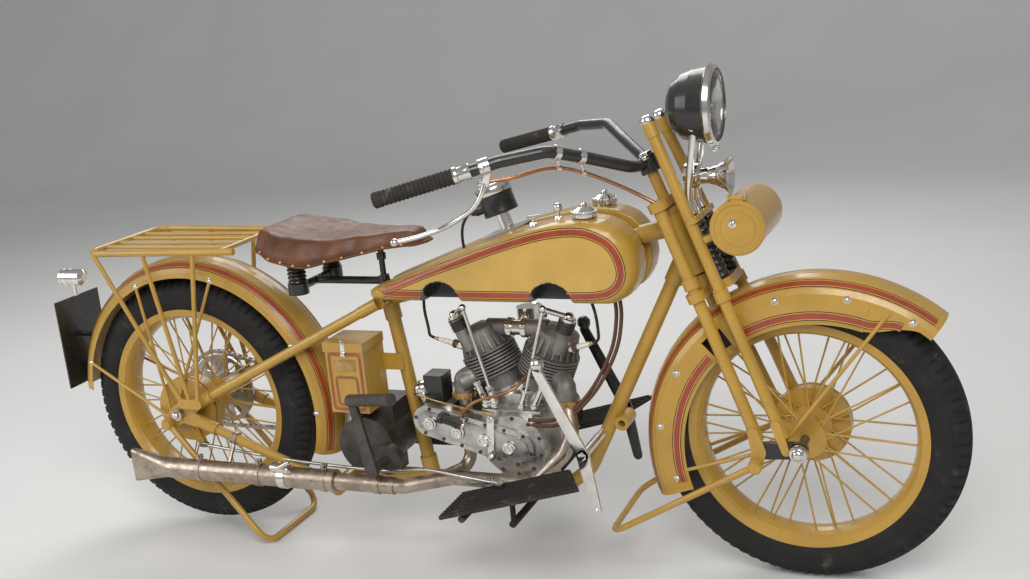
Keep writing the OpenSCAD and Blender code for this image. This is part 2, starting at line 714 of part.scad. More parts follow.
module lean_cylinder(s) color(iron) {
    difference() {
        translate(crank) rotate([0, s * vee_angle / 2, 0]) upright_cylinder(s);
        translate(crank + [s > 0 ? -2 * case_r + vee_gap : -vee_gap, -case_r, 0])
            cube([2 * case_r, 2 * case_r, 2 * head_reach]);
    }
    bar([crank.x + s * inlet_half, 0, inlet_z],
        [crank.x + s * inlet_half * 3, 0, inlet_z], port_r);
    bar(on_cylinder(s, case_r + exhaust_up, 0, 0),
        on_cylinder(s, case_r + exhaust_up, exhaust_out, exhaust_right), exhaust_r);
}
module front_cylinder() lean_cylinder(1);
module rear_cylinder() lean_cylinder(-1);

// Valve gear: lifter tubes, push rods and rocker arms, on the right
rod_r = 4;
rod_y = -fin_r - 2 * free_gap;
tube_out_r = 8;
rocker_arm_r = 6;
rod_ball_r = 8;
// Lifter tubes: foot ahead, foot up, top ahead, top up, as shares of the reach of the heads
lifter_shares = [[-0.15, 0.29, -0.19, 0.47], [-0.22, 0.29, -0.30, 0.50],
                 [0.08, 0.29, 0.14, 0.45], [0.19, 0.29, 0.29, 0.49]];
// Push rods: number of the lifter tube, top ahead, top up, side of the vee
rod_shares = [[0, -0.36, 1.14, -1], [2, 0.345, 1.14, 1]];
function lifter_point(ahead_share, up_share) =
    [crank.x + ahead_share * head_reach, rod_y, crank.z + up_share * head_reach];
module valve_gear() color(steel) {
    for (row = lifter_shares) {
        top = lifter_point(row[2], row[3]);
        foot = [lifter_point(row[0], 0).x, rod_y, crank.z + tappet_up + tappet_h];
        lean_share = abs(top.x - foot.x) / norm(top - foot);
        bar(foot + [0, 0, tube_out_r * lean_share + seat_gap], top, tube_out_r);
    }
    for (row = rod_shares) {
        tube = lifter_shares[row[0]];
        top = lifter_point(row[1], row[2]);
        bar(lifter_point(tube[2], tube[3]), top, rod_r);
        translate(top) sphere(r = rod_ball_r);
        bar(top, on_cylinder(row[3], head_reach + tower_h + rocker_arm_r + seat_gap, tower_out, tower_y),
            rocker_arm_r);
    }
}

// Inlet manifold between the heads, with the carburettor on its left
manifold_r = 17;
manifold_nut_r = 22;
manifold_nut_w = 12;
carb_y = 62;
carb_r = 25;
carb_h = 64;
bell_y = 112;
bell_r = 28;
module intake() color(steel) {
    half = inlet_half - seat_gap;
    long_bar(crank.x - half, crank.x + half, 0, inlet_z, manifold_r);
    for (s = [-1, 1]) long_bar(crank.x + s * (half - manifold_nut_w / 2) - manifold_nut_w / 2,
                               crank.x + s * (half - manifold_nut_w / 2) + manifold_nut_w / 2,
                               0, inlet_z, manifold_nut_r);
    cross_bar([crank.x, inlet_z], 0, bell_y - bell_r, manifold_r - cut);
    translate([crank.x, carb_y, inlet_z - carb_h / 2]) cylinder(h = carb_h, r = carb_r);
    translate([crank.x, bell_y - bell_r, inlet_z]) rotate([-90, 0, 0])
        cylinder(h = bell_r, r1 = manifold_r, r2 = bell_r);
}

// Generator behind the rear end of the timing chest, with its relay on top
generator_r = 35;
generator_len = 104;
relay_len = 46;
relay_w = 52;
relay_h = 58;
module generator() color(black) {
    y0 = chest_face + oval_w + seat_gap;
    cross_bar(oval_a, y0, y0 + generator_len, generator_r);
    translate([oval_a.x - relay_len / 2, y0 + cut, oval_a.y])
        cube([relay_len, relay_w, generator_r + relay_h]);
}

// Exhaust: a header from each cylinder, one pipe and a silencer with a flat tail
header_r = 17;
pipe_r = 20;
muffler_r = 25;
nut_ring_r = 25;
nut_ring_h = 15;
pipe_y = -158;
pipe_drop = 126;  // silencer's axis below the axle line
pipe_low = 112;  // pipe under the engine, below the axle line
pipe_front_y = -120;
header_bend = 36;
front_header_y = -66;
rear_header_y = -42;
join_back = 250;  // end of the pipe's outward bend behind the crank
muffler_back = 425;  // front end of the silencer behind the crank
muffler_len = 470;
tail_len_flat = 110;
tail_high = 88;
tail_flat_r = 9;
clip_share = 0.74;  // clip's place along the lower stay
clip_w = 14;
clip_wall = 4;
pipe_z = axle_z - pipe_drop;
muffler_x = crank.x - muffler_back;
// Top of a header's nut, under its port
function header_top(s, y) = let (port = on_cylinder(s, case_r + exhaust_up, exhaust_out, exhaust_right))
    [port.x, y, port.z - exhaust_r - seat_gap];
module exhaust() color(steel) {
    front = header_top(1, front_header_y);
    rear = header_top(-1, rear_header_y);
    low_z = axle_z - pipe_low;
    bent_bar([front, [front.x + header_bend / 2, pipe_front_y + header_r, axle_z],
              [front.x, pipe_front_y + header_r / 2, low_z + 2 * header_bend],
              [front.x - 2 * header_bend, pipe_front_y, low_z],
              [crank.x - join_back + 3 * header_bend, pipe_front_y, low_z],
              [crank.x - join_back, pipe_y, pipe_z], [muffler_x, pipe_y, pipe_z]], header_r, header_bend);
    bent_bar([rear, [rear.x, rear_header_y, low_z], [rear.x - header_bend, pipe_front_y, low_z]],
             header_r - cut, header_bend);
    for (top = [front, rear]) bar(top - [0, 0, nut_ring_h], top, nut_ring_r);
    long_bar(muffler_x - cut, crank.x - join_back - pipe_r, pipe_y, pipe_z, pipe_r);
    long_bar(muffler_x - muffler_len, muffler_x, pipe_y, pipe_z, muffler_r);
    hull() {
        long_bar(muffler_x - muffler_len, muffler_x - muffler_len + cut, pipe_y, pipe_z, muffler_r - cut);
        for (s = [-1, 1]) long_bar(muffler_x - muffler_len - tail_len_flat,
                                   muffler_x - muffler_len - tail_len_flat + cut, pipe_y,
                                   pipe_z + s * (tail_high / 2 - tail_flat_r), tail_flat_r);
    }
    on_stay = cross_root(-1) + (lower_eye(-1) - cross_root(-1)) * clip_share;
    stay_dir = unit(lower_eye(-1) - cross_root(-1));
    difference() {
        union() {
            bar(on_stay - stay_dir * clip_w / 2, on_stay + stay_dir * clip_w / 2,
                stay_r + seat_gap + clip_wall);
            bar(on_stay, [on_stay.x, pipe_y, pipe_z], clip_w / 2 - cut);
        }
        bar(on_stay - stay_dir * clip_w, on_stay + stay_dir * clip_w, stay_r + seat_gap);
    }
}

// Gearbox behind the seat tube, with the final drive's sprocket on its left
gear_back = 55;  // gearbox's middle behind the seat lug
gear_drop = 60;  // and below the axle line
box_body_r = 70;
box_right = 95;
box_left = 60;
box_top_len = 112;
box_top_w = 100;
box_top_h = 18;
small_r = 42;  // pitch radius of the gearbox sprocket
kick_ahead = 60;  // kick starter's shaft ahead of the gearbox's middle, and below it
kick_drop = 24;
kick_cover_r = 36;
kick_cover_w = 20;
gear_at = [-seat_back - gear_back, axle_z - gear_drop];
kick_at = gear_at + [kick_ahead, -kick_drop];
module gearbox() color(iron) {
    cross_bar(gear_at, -box_right, box_left, box_body_r);
    translate([gear_at.x - box_top_len / 2, -box_top_w / 2, gear_at.y])
        cube([box_top_len, box_top_w, box_body_r + box_top_h]);
    cross_bar(kick_at, -box_right - kick_cover_w, -box_right + cut, kick_cover_r);
    cross_bar(gear_at, box_left - cut, chain_y + sprocket_w / 2, axle_r);
    cross_bar(gear_at, chain_y - sprocket_w / 2, chain_y + sprocket_w / 2,
              small_r - chain_half - seat_gap);
    translate([gear_at.x - mount_len, -mount_half, loop_z + tube_r + seat_gap])
        cube([2 * mount_len, 2 * mount_half, box_body_r / 2]);
}

// Kick starter: shaft, cranked arm and pedal
kick_r = 11;
arm_y = -176;
arm_t = 11;
arm_len = 158;
arm_lean = 10;  // lean of the arm back from upright, in degrees
arm_r = 15;
arm_tip_r = 10;
pedal_r = 14;
pedal_len = 150;
pedal_turn = 25;  // pedal's turn forward from straight out, in degrees
pedal_rise = 12;
pedal_in_share = 0.08;
module kick_starter() color(steel) {
    tip = kick_at + arm_len * [-sin(arm_lean), cos(arm_lean)];
    along = [cos(pedal_turn) * cos(pedal_rise), -sin(pedal_turn) * cos(pedal_rise), sin(pedal_rise)];
    start = [tip.x, arm_y - arm_t / 2, tip.y + pedal_r];
    cross_bar(kick_at, arm_y - arm_t, -box_right - kick_cover_w - seat_gap, kick_r);
    side_plate(belt(kick_at, arm_r, tip, arm_tip_r), arm_y - arm_t, arm_y);
    bar(start - along * pedal_len * pedal_in_share, start + along * pedal_len, pedal_r);
}

// Primary chain's cover on the left, and the final drive chain inside it
primary_y = 96;
primary_w = 36;
primary_front_r = 90;
primary_rear_r = 70;
primary_rim = 10;
primary_boss_r = 48;
primary_ahead = 34;  // rear end of the cover ahead of the gearbox's middle
primary_rear_at = gear_at + [primary_ahead, 0];
module primary_cover() color(black) {
    side_plate(belt(flat(crank), primary_front_r, primary_rear_at, primary_rear_r),
               primary_y, primary_y + primary_w);
    side_plate(belt(flat(crank), primary_front_r - primary_rim, primary_rear_at,
                    primary_rear_r - primary_rim),
               primary_y + primary_w - cut, primary_y + primary_w + primary_rim / 2);
    cross_bar(flat(crank), case_w / 2 + seat_gap, primary_y + cut, primary_boss_r);
}
module drive_chain() color(black) difference() {
    side_plate(belt(gear_at, small_r + chain_half, [rear_x, axle_z], sprocket_r + chain_half, 20),
               chain_y - chain_w / 2, chain_y + chain_w / 2);
    side_plate(belt(gear_at, small_r - chain_half, [rear_x, axle_z], sprocket_r - chain_half, 20),
               chain_y - chain_w, chain_y + chain_w);
}

// Footboards on struts from the bottom tube
board_len = 338;
board_w = 124;
board_in = 154;  // inner edge from the centre line
board_t = 8;
board_lip = 5;
board_slant = 64;  // inner front corner behind the outer one
board_tilt = 16;  // degrees, front up
board_ahead = 18;  // rear edge ahead of the middle of the wheelbase
board_drop = 140;  // rear edge below the axle line
rib_n = 9;
rib_h = 4;
strut_r = 8;
strut_first = 20;  // struts ahead of the rear edge
strut_gap = 122;
function board_z(x) = axle_z - board_drop + (x - board_ahead) * tan(board_tilt);
module footboard(side) color(black) on_side(side) {
    translate([board_ahead, -board_in - board_w, axle_z - board_drop]) rotate([0, -board_tilt, 0]) {
        linear_extrude(height = board_t) polygon([[0, 0], [board_len, 0],
                                                  [board_len - board_slant, board_w], [0, board_w]]);
        for (i = [0 : rib_n - 1]) {
            across_share = (i + 1 / 2) / rib_n;
            translate([board_lip, board_w * across_share - rib_h / 2, board_t - cut])
                cube([board_len - board_slant * across_share - 2 * board_lip, rib_h, rib_h + cut]);
        }
    }
    for (i = [0, 1]) {
        x = board_ahead + strut_first + i * strut_gap;
        out = board_in + board_w / 2;
        bar([x, -tube_r - seat_gap, loop_z], [x, -out, loop_z], strut_r);
        bar([x, strut_r - out, loop_z], [x, strut_r - out, board_z(x) + board_t / 2], strut_r - cut);
    }
}
module footboard_right() footboard(-1);
module footboard_left() footboard(1);

// Hand levers beside the tank, on cross shafts clamped to the down tube
lever_y = 158;
lever_t = 7;
lever_r = 15;
lever_tip_r = 11;
knob_r = 16;
lever_up = 184;  // knob above the shaft, and behind it
lever_back = 88;
lever_low = 124;  // foot below the shaft, and ahead of it
lever_fore = 22;
shaft_drop = 22;  // shaft below the axle line
shaft_r = 9;
lever_at = [down_x(axle_z - shaft_drop), axle_z - shaft_drop];
module hand_levers() color(steel) for (side = sides) on_side(side) {
    knob = lever_at + [-lever_back, lever_up];
    low = lever_at + [lever_fore, -lever_low];
    side_plate(belt(lever_at, lever_r, knob, lever_tip_r), -lever_y, -lever_y + lever_t);
    side_plate(belt(lever_at, lever_r, low, lever_tip_r), -lever_y, -lever_y + lever_t);
    cross_bar(lever_at, -lever_y, -tube_r - seat_gap, shaft_r);
    translate([knob.x, -lever_y + lever_t / 2, knob.y + knob_r]) sphere(r = knob_r);
}

// Fenders: an arched section swept round a centre near each axle
fender_t = 2;
fender_drop = 44;  // edge of the arch below its crown
rear_shift = 25;  // rear fender's centre ahead of the axle
front_shift = 33;  // front fender's centre ahead of the axle, and below it
front_sink = 29;
rear_from = -18;  // ends of the fenders, in degrees from forward
rear_to = 175;
front_from = 50;
front_to = 199;
skirt_spans = [[72, 126], [135, 199]];  // valances of the front fender, in degrees
stay_bar_r = 4;
rear_stay_angles = [75, 114, 162];  // fender ends of the rear stays, in degrees
front_stay_angles = [66, 190];
stay_eye_r = 11;
stay_eye_w = 8;
bead_r = 2;  // rolled edge of the valances
rear_fender_at = [rear_x + rear_shift, 0, axle_z];
front_fender_at = [front_x + front_shift, 0, axle_z - front_sink];
// Arched section of a fender, as [radius, y]
function arch(half, r, drop, t) = let (
        steps = 12,
        outer = [for (i = [0 : steps]) let (a = 180 * i / steps)
            [r - drop + drop * sin(a), -half * cos(a)]],
        inner = [for (i = [0 : steps]) let (a = 180 * i / steps)
            [r - drop + (drop - t) * sin(a), -(half - t) * cos(a)]]
    ) concat(outer, [for (i = [0 : steps]) inner[steps - i]]);
// Piece of a ring about Y between two angles
module swept(points, from, to) rotate([90, 0, 0]) rotate([0, 0, from])
    rotate_extrude(angle = to - from) polygon(points);
module fender(from, to) swept(arch(fender_w / 2, fender_r, fender_drop, fender_t), from, to);
// Valance with a rolled edge, on the right
module skirt(from, to) {
    low = fender_r - skirt_depth;
    top = fender_r - fender_drop + bead_r;
    y = fender_w / 2 - fender_t;
    swept([[low, y], [top, y], [top, y + fender_t], [low + 2 * bead_r, y + fender_t],
           [low + 2 * bead_r, y + fender_t + bead_r], [low, y + fender_t + bead_r]], from, to);
}
// Point on a fender's edge at an angle
function fender_edge(centre, side, angle) = centre
    + [0, side * (fender_w - fender_t) / 2, 0]
    + (fender_r - fender_drop + stay_bar_r) * [cos(angle), 0, sin(angle)];
module rear_fender() color(paint) {
    translate(rear_fender_at) fender(rear_from, rear_to);
    for (side = sides) {
        face = lug_half - lug_t / 2 - seat_gap;
        on_side(side) cross_bar(flat(stand_pivot), -face, -face + stay_eye_w, stay_eye_r);
        for (angle = rear_stay_angles)
            bar([stand_pivot.x, side * (face - stay_eye_w / 2), stand_pivot.z],
                fender_edge(rear_fender_at, side, angle), stay_bar_r);
    }
}

// Luggage rack over the rear fender, on three stays a side
rack_up = 412;  // rack above the axle line
rack_tail = 325;  // rack's front behind the seat lug
rail_r = 8;
slat_r = 5;
rack_stay_r = 5.5;
rack_bend = 40;
rack_cross = 40;  // front cross bar behind the rails' front ends
rail_in_share = 0.83;  // rails' half distance in front, of that at the rear
slat_shares = [-0.5, -0.17, 0.17, 0.5];
rack_foot_t = 8;
rack_foot_r = 12;
rack_foot_back = 26;
rack_foot_ahead = 18;
rack_foot_up = 6;
// Stays: place along the rack from its front, foot's place along the foot plate
rack_stay_shares = [[0.27, 1], [0.61, 0.5], [0.95, 0]];
rack_z = axle_z + rack_up;
rack_front = -seat_back - rack_tail;
module luggage_rack() color(paint) {
    half = rack_w / 2;
    back = rack_front - rack_len;
    bent_bar([[rack_front, -half * rail_in_share, rack_z], [back, -half, rack_z], [back, half, rack_z],
              [rack_front, half * rail_in_share, rack_z]], rail_r, rack_bend);
    cross_bar([rack_front - rack_cross, rack_z], -half * rail_in_share, half * rail_in_share, rail_r - cut);
    for (share = slat_shares)
        bar([rack_front - rack_cross, share * half, rack_z], [back, share * half, rack_z], slat_r);
    for (side = sides) {
        eye = upper_eye(side);
        y = side * (lug_half + stay_r + stub_wall + seat_gap + rack_foot_t / 2);
        side_plate(belt([eye.x - rack_foot_back, eye.z + rack_foot_up], rack_foot_r,
                        [eye.x + rack_foot_ahead, eye.z + rack_foot_up], rack_foot_r),
                   y - rack_foot_t / 2, y + rack_foot_t / 2);
        for (row = rack_stay_shares) {
            along_share = row[0];
            out = half * (rail_in_share + (1 - rail_in_share) * along_share);
            bar([rack_front - rack_len * along_share, side * out, rack_z],
                [eye.x - rack_foot_back + (rack_foot_back + rack_foot_ahead) * row[1], y,
                 eye.z + rack_foot_up], rack_stay_r);
        }
    }
}

// Tail lamp on the blank number plate, which stands on the rear fender
plate_h = 230;
plate_w = 160;
plate_t = 4;
plate_ahead = 30;  // plate ahead of the lamp's rear face
lamp_post_r = 7;
lamp_post_h = 48;  // post from the plate to the lamp's axis
plate_arm_r = 7;
plate_arm_shares = [0.45, 0.82];  // arms down the plate
lamp_hood = 8;
plate_x = tail_end.x + plate_ahead;
plate_top = tail_end.z - lamp_post_h;
module tail_lamp() color(steel) {
    long_bar(tail_end.x, tail_end.x + tail_len, 0, tail_end.z, tail_r);
    translate(tail_end + [tail_len, 0, 0]) rotate([0, 90, 0])
        cylinder(h = lamp_hood, r1 = tail_r, r2 = tail_r / 2);
    bar([plate_x, 0, plate_top + seat_gap], [plate_x, 0, tail_end.z], lamp_post_r);
}
function fender_back(z) = rear_fender_at.x - sqrt(pow(fender_r, 2) - pow(z - axle_z, 2));
module number_plate() color(black) {
    translate([plate_x - plate_t / 2, -plate_w / 2, plate_top - plate_h])
        cube([plate_t, plate_w, plate_h]);
    for (share = plate_arm_shares) {
        z = plate_top - share * plate_h;
        long_bar(plate_x, fender_back(z - plate_arm_r) - seat_gap, 0, z, plate_arm_r);
    }
}

// Rear brake's fixed plate, with its arm and rod
plate_wall = 6;
brake_boss_r = 15;
brake_arm_len = 96;
brake_arm_lean = 20;  // degrees forward of straight down
brake_eye_r = 8;
module rear_brake() color(paint) {
    in = hub_half + rear_drum_w + free_gap + cut / 2;
    tip = [rear_x, axle_z] + brake_arm_len * [sin(brake_arm_lean), -cos(brake_arm_lean)];
    difference() {
        union() {
            cross_bar([rear_x, axle_z], -in - plate_wall, -in, drum_r);
            cross_bar([rear_x, axle_z], -lug_half + lug_t / 2 + seat_gap, -in, brake_boss_r);
            side_plate(belt([rear_x, axle_z], brake_boss_r, tip, brake_eye_r),
                       -in - 2 * plate_wall, -in - plate_wall / 2);
        }
        cross_bar([rear_x, axle_z], -lug_half, -hub_half, axle_r + run_gap);
    }
}

// Fork, in the steering frame: x ahead of the axis, z along it
leg_gap = 50;  // spring legs ahead of the rigid legs
crown_t = 19;
crown_r = 20;
cone_r = 23;
cone_h = 20;  // bearing cone between the lower crown and the head lug
rocker_r = 17;
rocker_t = 14;
pivot_ahead = -6;  // rear end of the rockers, ahead of the axis and above the axle
pivot_up = 26;
rigid_foot = 46;  // feet of the legs above the axle, along the axis
spring_foot = 34;
cheek_t = 6;
spring_pin_ahead = 46;  // spring legs' pin on the rockers
spring_pin_r = 8;
cheek_up = 68;
front_pivot_back = 21;  // front stand's pivot behind the steering axis, and above the axle
front_pivot_up = 4;
collar_h = 22;
collar_grow = 4;
collar_ups = [334, 380];  // ring collars of the spring legs and of the rigid legs
plate_up = 103;  // spring plate above the foot of the head lug
plate_thick = 12;
plate_r = 14;
stem_top = 80;  // top of the stem above the head lug
cap_len = 40;
crown_low = head_low - free_gap - cone_h - crown_t;
rigid_top = head_low + head_len + free_gap + crown_t;
spring_seat = head_low - free_gap - cone_h;
function rigid_y(w) = crown_half + (foot_half - crown_half) * (rigid_top - w) / (rigid_top - rigid_foot);
function spring_y(w) = cap_half + (foot_half - cap_half) * (cap_high - w) / (cap_high - spring_foot);
function rocker_w(ahead) = pivot_up * (axle_lead - ahead) / (axle_lead - pivot_ahead);
module crown(ahead, half, r, from, height) translate([0, 0, from])
    linear_extrude(height = height) polygon(belt([ahead, -half], r, [ahead, half], r));
module rigid_fork() color(paint) fork_frame() {
    cheek = foot_half + rocker_t / 2 + seat_gap;
    translate([0, 0, crown_low]) cylinder(h = head_low + head_len + stem_top - crown_low, r = stem_r);
    translate([0, 0, spring_seat - cut]) cylinder(h = cone_h + cut, r = cone_r);
    crown(0, rigid_y(crown_low), crown_r, crown_low, crown_t);
    crown(leg_gap + collar_grow, spring_y_in, fork_spring_r + cut, crown_low, crown_t);
    translate([0, -spring_y_in, crown_low]) cube([leg_gap, 2 * spring_y_in, crown_t]);
    crown(0, rigid_y(rigid_top), crown_r, rigid_top - crown_t, crown_t);
    for (side = sides) {
        leg_dir = unit([0, side * (foot_half - crown_half), rigid_foot - rigid_top]);
        bar([0, side * crown_half, rigid_top], [0, side * foot_half, rigid_foot], rigid_leg_r);
        ring = [0, side * rigid_y(collar_ups[1]), collar_ups[1]];
        bar(ring - leg_dir * collar_h, ring, rigid_leg_r + collar_grow);
        on_side(side) {
            side_plate(belt([0, cheek_up], rigid_leg_r - cut, [pivot_ahead, pivot_up], rocker_r - cut),
                       -cheek - cheek_t, -cheek);
            side_plate(belt([pivot_ahead, pivot_up], rocker_r - cut,
                            [-front_pivot_back, front_pivot_up], rocker_r - 2 * cut),
                       -cheek - cheek_t, -cheek);
            stand_pin([-front_pivot_back, front_pivot_up], cheek + cheek_t);
        }
    }
}
module spring_fork() color(paint) fork_frame() {
    cheek = foot_half + rocker_t / 2 + seat_gap;
    crown(leg_gap + collar_grow, spring_y(head_low + plate_up), plate_r, head_low + plate_up, plate_thick);
    for (side = sides) {
        leg_dir = unit([0, side * (foot_half - cap_half), spring_foot - cap_high]);
        top = [leg_gap, side * cap_half, cap_high];
        bar(top, [leg_gap, side * foot_half, spring_foot], spring_leg_r);
        bar(top, top + leg_dir * cap_len, spring_leg_r + collar_grow / 2);
        ring = [leg_gap, side * spring_y(collar_ups[0]), collar_ups[0]];
        bar(ring - leg_dir * collar_h, ring, spring_leg_r + collar_grow);
        on_side(side) side_plate(belt([leg_gap, cheek_up], spring_leg_r - cut,
                                      [spring_pin_ahead, rocker_w(spring_pin_ahead)], spring_pin_r),
                                 -cheek - cheek_t, -cheek);
    }
}
spring_y_in = 37;
fork_spring_r = 17;
fork_wire_r = 4;
module fork_springs() color(black) fork_frame() for (side = sides)
    translate([leg_gap + collar_grow, side * spring_y_in, spring_seat + seat_gap])
        coil(head_low + plate_up - spring_seat - 2 * seat_gap, fork_spring_r, fork_wire_r, 9);
module rockers() color(black) fork_frame() {
    for (side = sides) side_plate(belt([pivot_ahead, pivot_up], rocker_r, [axle_lead, 0], rocker_r),
                                  side * foot_half - rocker_t / 2, side * foot_half + rocker_t / 2);
    cross_bar([axle_lead, 0], -foot_half - rocker_t / 2 - nut_h - cut,
              foot_half + rocker_t / 2 + nut_h + cut, axle_r);
    for (side = sides) on_side(side) translate([axle_lead, -foot_half - rocker_t / 2 + cut, 0])
        rotate([90, 0, 0]) cylinder(h = nut_h + cut, r = nut_r, $fn = 6);
}

// Height on the steering axis where it meets the front fender's crown
function axis_meets(centre, r) = let (
        c = [(centre.x - fork_foot.x) * cos(head_rake) + (centre.z - fork_foot.z) * sin(head_rake),
             -(centre.x - fork_foot.x) * sin(head_rake) + (centre.z - fork_foot.z) * cos(head_rake)]
    ) c.y + sqrt(r * r - c.x * c.x);
fender_post_r = 10;
front_eye_ahead = 30;  // eye of the fender's stays on the rocker, ahead of the axis
module front_fender() color(paint) {
    translate(front_fender_at) {
        fender(front_from, front_to);
        for (side = sides) on_side(side) for (span = skirt_spans) skirt(span[0], span[1]);
    }
    fork_frame() translate([0, 0, axis_meets(front_fender_at, fender_r - fender_t / 2)])
        cylinder(h = crown_low - seat_gap - axis_meets(front_fender_at, fender_r - fender_t / 2),
                 r = fender_post_r);
    for (side = sides) {
        face = foot_half - rocker_t / 2 - seat_gap;
        eye = on_fork(front_eye_ahead, side * (face - stay_eye_w / 2), rocker_w(front_eye_ahead));
        on_side(side) cross_bar(flat(eye), -face, -face + stay_eye_w, stay_eye_r - cut);
        for (angle = front_stay_angles)
            bar(eye, fender_edge(front_fender_at, side, angle)
                - (angle > 90 ? skirt_depth - fender_drop : 0) * [cos(angle), 0, sin(angle)],
                stay_bar_r);
    }
}

// Handlebar on the stem's clamp: share of the sweep, of the half width and of the rise
bar_shares = [[0, 0, 0], [0.04, 0.14, 0], [0.185, 0.36, 0.55], [0.31, 0.57, 1], [0.49, 0.73, 0.85],
              [0.61, 0.81, 0.62], [0.66, 0.834, 0.53]];
grip_end_shares = [1, 1, -0.08];
bar_bend = 60;
bar_up = 100;  // bar's centre above the head lug
clamp_r = 22;
clamp_h = 36;
grip_grow = 4;
bar_centre = on_fork(0, 0, head_low + head_len + bar_up);
function bar_at(p, side) = bar_centre + [-p[0] * bar_sweep, side * p[1] * bar_half, p[2] * bar_rise];
module handlebar() color(black) {
    for (side = sides) bent_bar([for (p = bar_shares) bar_at(p, side)], bar_r, bar_bend);
    fork_frame() translate([0, 0, head_low + head_len + stem_top + seat_gap])
        cylinder(h = clamp_h, r = clamp_r);
}
module grips() color(black) for (side = sides) {
    from = bar_at(bar_shares[6], side);
    to = bar_at(grip_end_shares, side);
    bar_between(from, to, bar_r + grip_grow, seat_gap, 0);
    bar_between(from, to, bar_r + 2 * grip_grow, norm(to - from) - 2 * grip_grow, 0);
}

// Headlamp on two posts from the spring plate: shell, bright rim and lens
lamp_back = 178;  // rim's plane behind the front axle, and above it
lamp_up = 684;
lamp_r = 76;
lamp_deep = 84;
rim_grow = 7;
rim_deep = 18;
lens_r = 72;
lens_bulge = 9;
lamp_post_in = 37;  // posts at the spring plate and at the lamp, from the centre line
lamp_post_out = 46;
lamp_post_up = 34;
lamp_post_bend = 20;
shell_shares = [[0.12, 0], [0.45, 0.05], [0.70, 0.18], [0.86, 0.38], [0.95, 0.64], [1, 1]];
lamp_at = [front_x - lamp_back, 0, axle_z + lamp_up];
module headlamp() color(black) {
    translate(lamp_at - [lamp_deep, 0, 0]) turned_long(concat([[0, 0]],
        [for (p = shell_shares) [p[0] * lamp_r, p[1] * lamp_deep]], [[0, lamp_deep]]));
    for (side = sides) bent_bar([
        on_fork(leg_gap + collar_grow, side * lamp_post_in, head_low + plate_up + plate_thick + seat_gap),
        on_fork(leg_gap + collar_grow, side * lamp_post_in, head_low + plate_up + plate_thick + lamp_post_up),
        lamp_at + [-lamp_deep / 4, side * lamp_post_out, -lamp_r / 2]], lamp_post_r, lamp_post_bend);
}
module headlamp_rim() color(steel) translate(lamp_at + [seat_gap, 0, 0]) turned_long([
    [lens_r + seat_gap, 0], [lamp_r, 0], [lamp_r + rim_grow, rim_deep / 3],
    [lamp_r + rim_grow / 2, rim_deep * 5 / 6], [lens_r + seat_gap, rim_deep]]);
module headlamp_lens() color(steel) translate(lamp_at + [seat_gap, 0, 0]) turned_long(concat(
    [[0, 0], [lens_r, 0]],
    [for (i = [0 : 4]) [lens_r * cos(90 * i / 4), rim_deep / 2 + lens_bulge * sin(90 * i / 4)]]));

// Horn: a trumpet under the headlamp, on a stalk from the spring plate
horn_up = 543;  // horn's axis above the axle line
horn_back = 140;  // bell's rim behind the front axle
horn_len = 92;
horn_r = 41;
stalk_r = 8;
stalk_knee = 27;
stalk_bend = 20;
horn_shares = [[0.62, 0], [0.62, 0.30], [0.40, 0.36], [0.40, 0.52], [0.52, 0.70], [0.74, 0.88], [1, 1]];
horn_in_shares = [[0.92, 1], [0.66, 0.90], [0.44, 0.72], [0, 0.66]];
horn_at = [front_x - horn_back - horn_len, 0, axle_z + horn_up];
module horn() color(steel) {
    translate(horn_at) turned_long(concat([[0, 0]],
        [for (p = horn_shares) [p[0] * horn_r, p[1] * horn_len]],
        [for (p = horn_in_shares) [p[0] * horn_r, p[1] * horn_len]]));
    foot = on_fork(leg_gap + collar_grow, 0, head_low + plate_up + plate_thick + seat_gap);
    knee = on_fork(leg_gap + collar_grow, 0, head_low + plate_up + plate_thick + stalk_knee);
    bent_bar([foot, knee, [knee.x, 0, horn_at.z]], stalk_r, stalk_bend);
}

// Round toolbox ahead of the spring legs, with a hinged lid on its right end
box_ahead = 141;  // box's axis ahead of the steering axis, and along it
box_along = 462;
box_r = 54;
box_half = 90;
box_wall = 3;
lid_t = 6;
lid_lip = 1;
hinge_r = 5;
hinge_pin_r = 2.5;
hinge_half = 12;
hinge_ear = 5;
ear_gap = 1;
ear_root = 12;
box_arm_r = 8;
box_centre = on_fork(box_ahead, 0, box_along);
hinge_z = box_r + lid_lip + hinge_r;
hinge_y = -box_half - lid_t / 2;
module toolbox() color(paint) {
    translate(box_centre) {
        difference() {
            cross_bar([0, 0], -box_half, box_half, box_r);
            cross_bar([0, 0], -box_half - cut, box_half - box_wall, box_r - box_wall);
        }
        long_bar(-hinge_half - ear_gap - hinge_ear, hinge_half + ear_gap + hinge_ear, hinge_y, hinge_z,
                 hinge_pin_r);
        for (x = [-hinge_half - ear_gap - hinge_ear, hinge_half + ear_gap]) {
            translate([x, hinge_y - hinge_pin_r, box_r + lid_lip + ear_gap])
                cube([hinge_ear, lid_t + ear_root, 2 * hinge_r - ear_gap]);
            translate([x, -box_half, box_r - ear_root / 2])
                cube([hinge_ear, lid_t / 2 + ear_root - hinge_pin_r, ear_root]);
        }
    }
    fork_frame() for (side = sides) {
        y = side * spring_y(box_along);
        bar([leg_gap + spring_leg_r + seat_gap, y, box_along],
            [box_ahead - box_r + box_wall / 2, y, box_along], box_arm_r);
    }
}
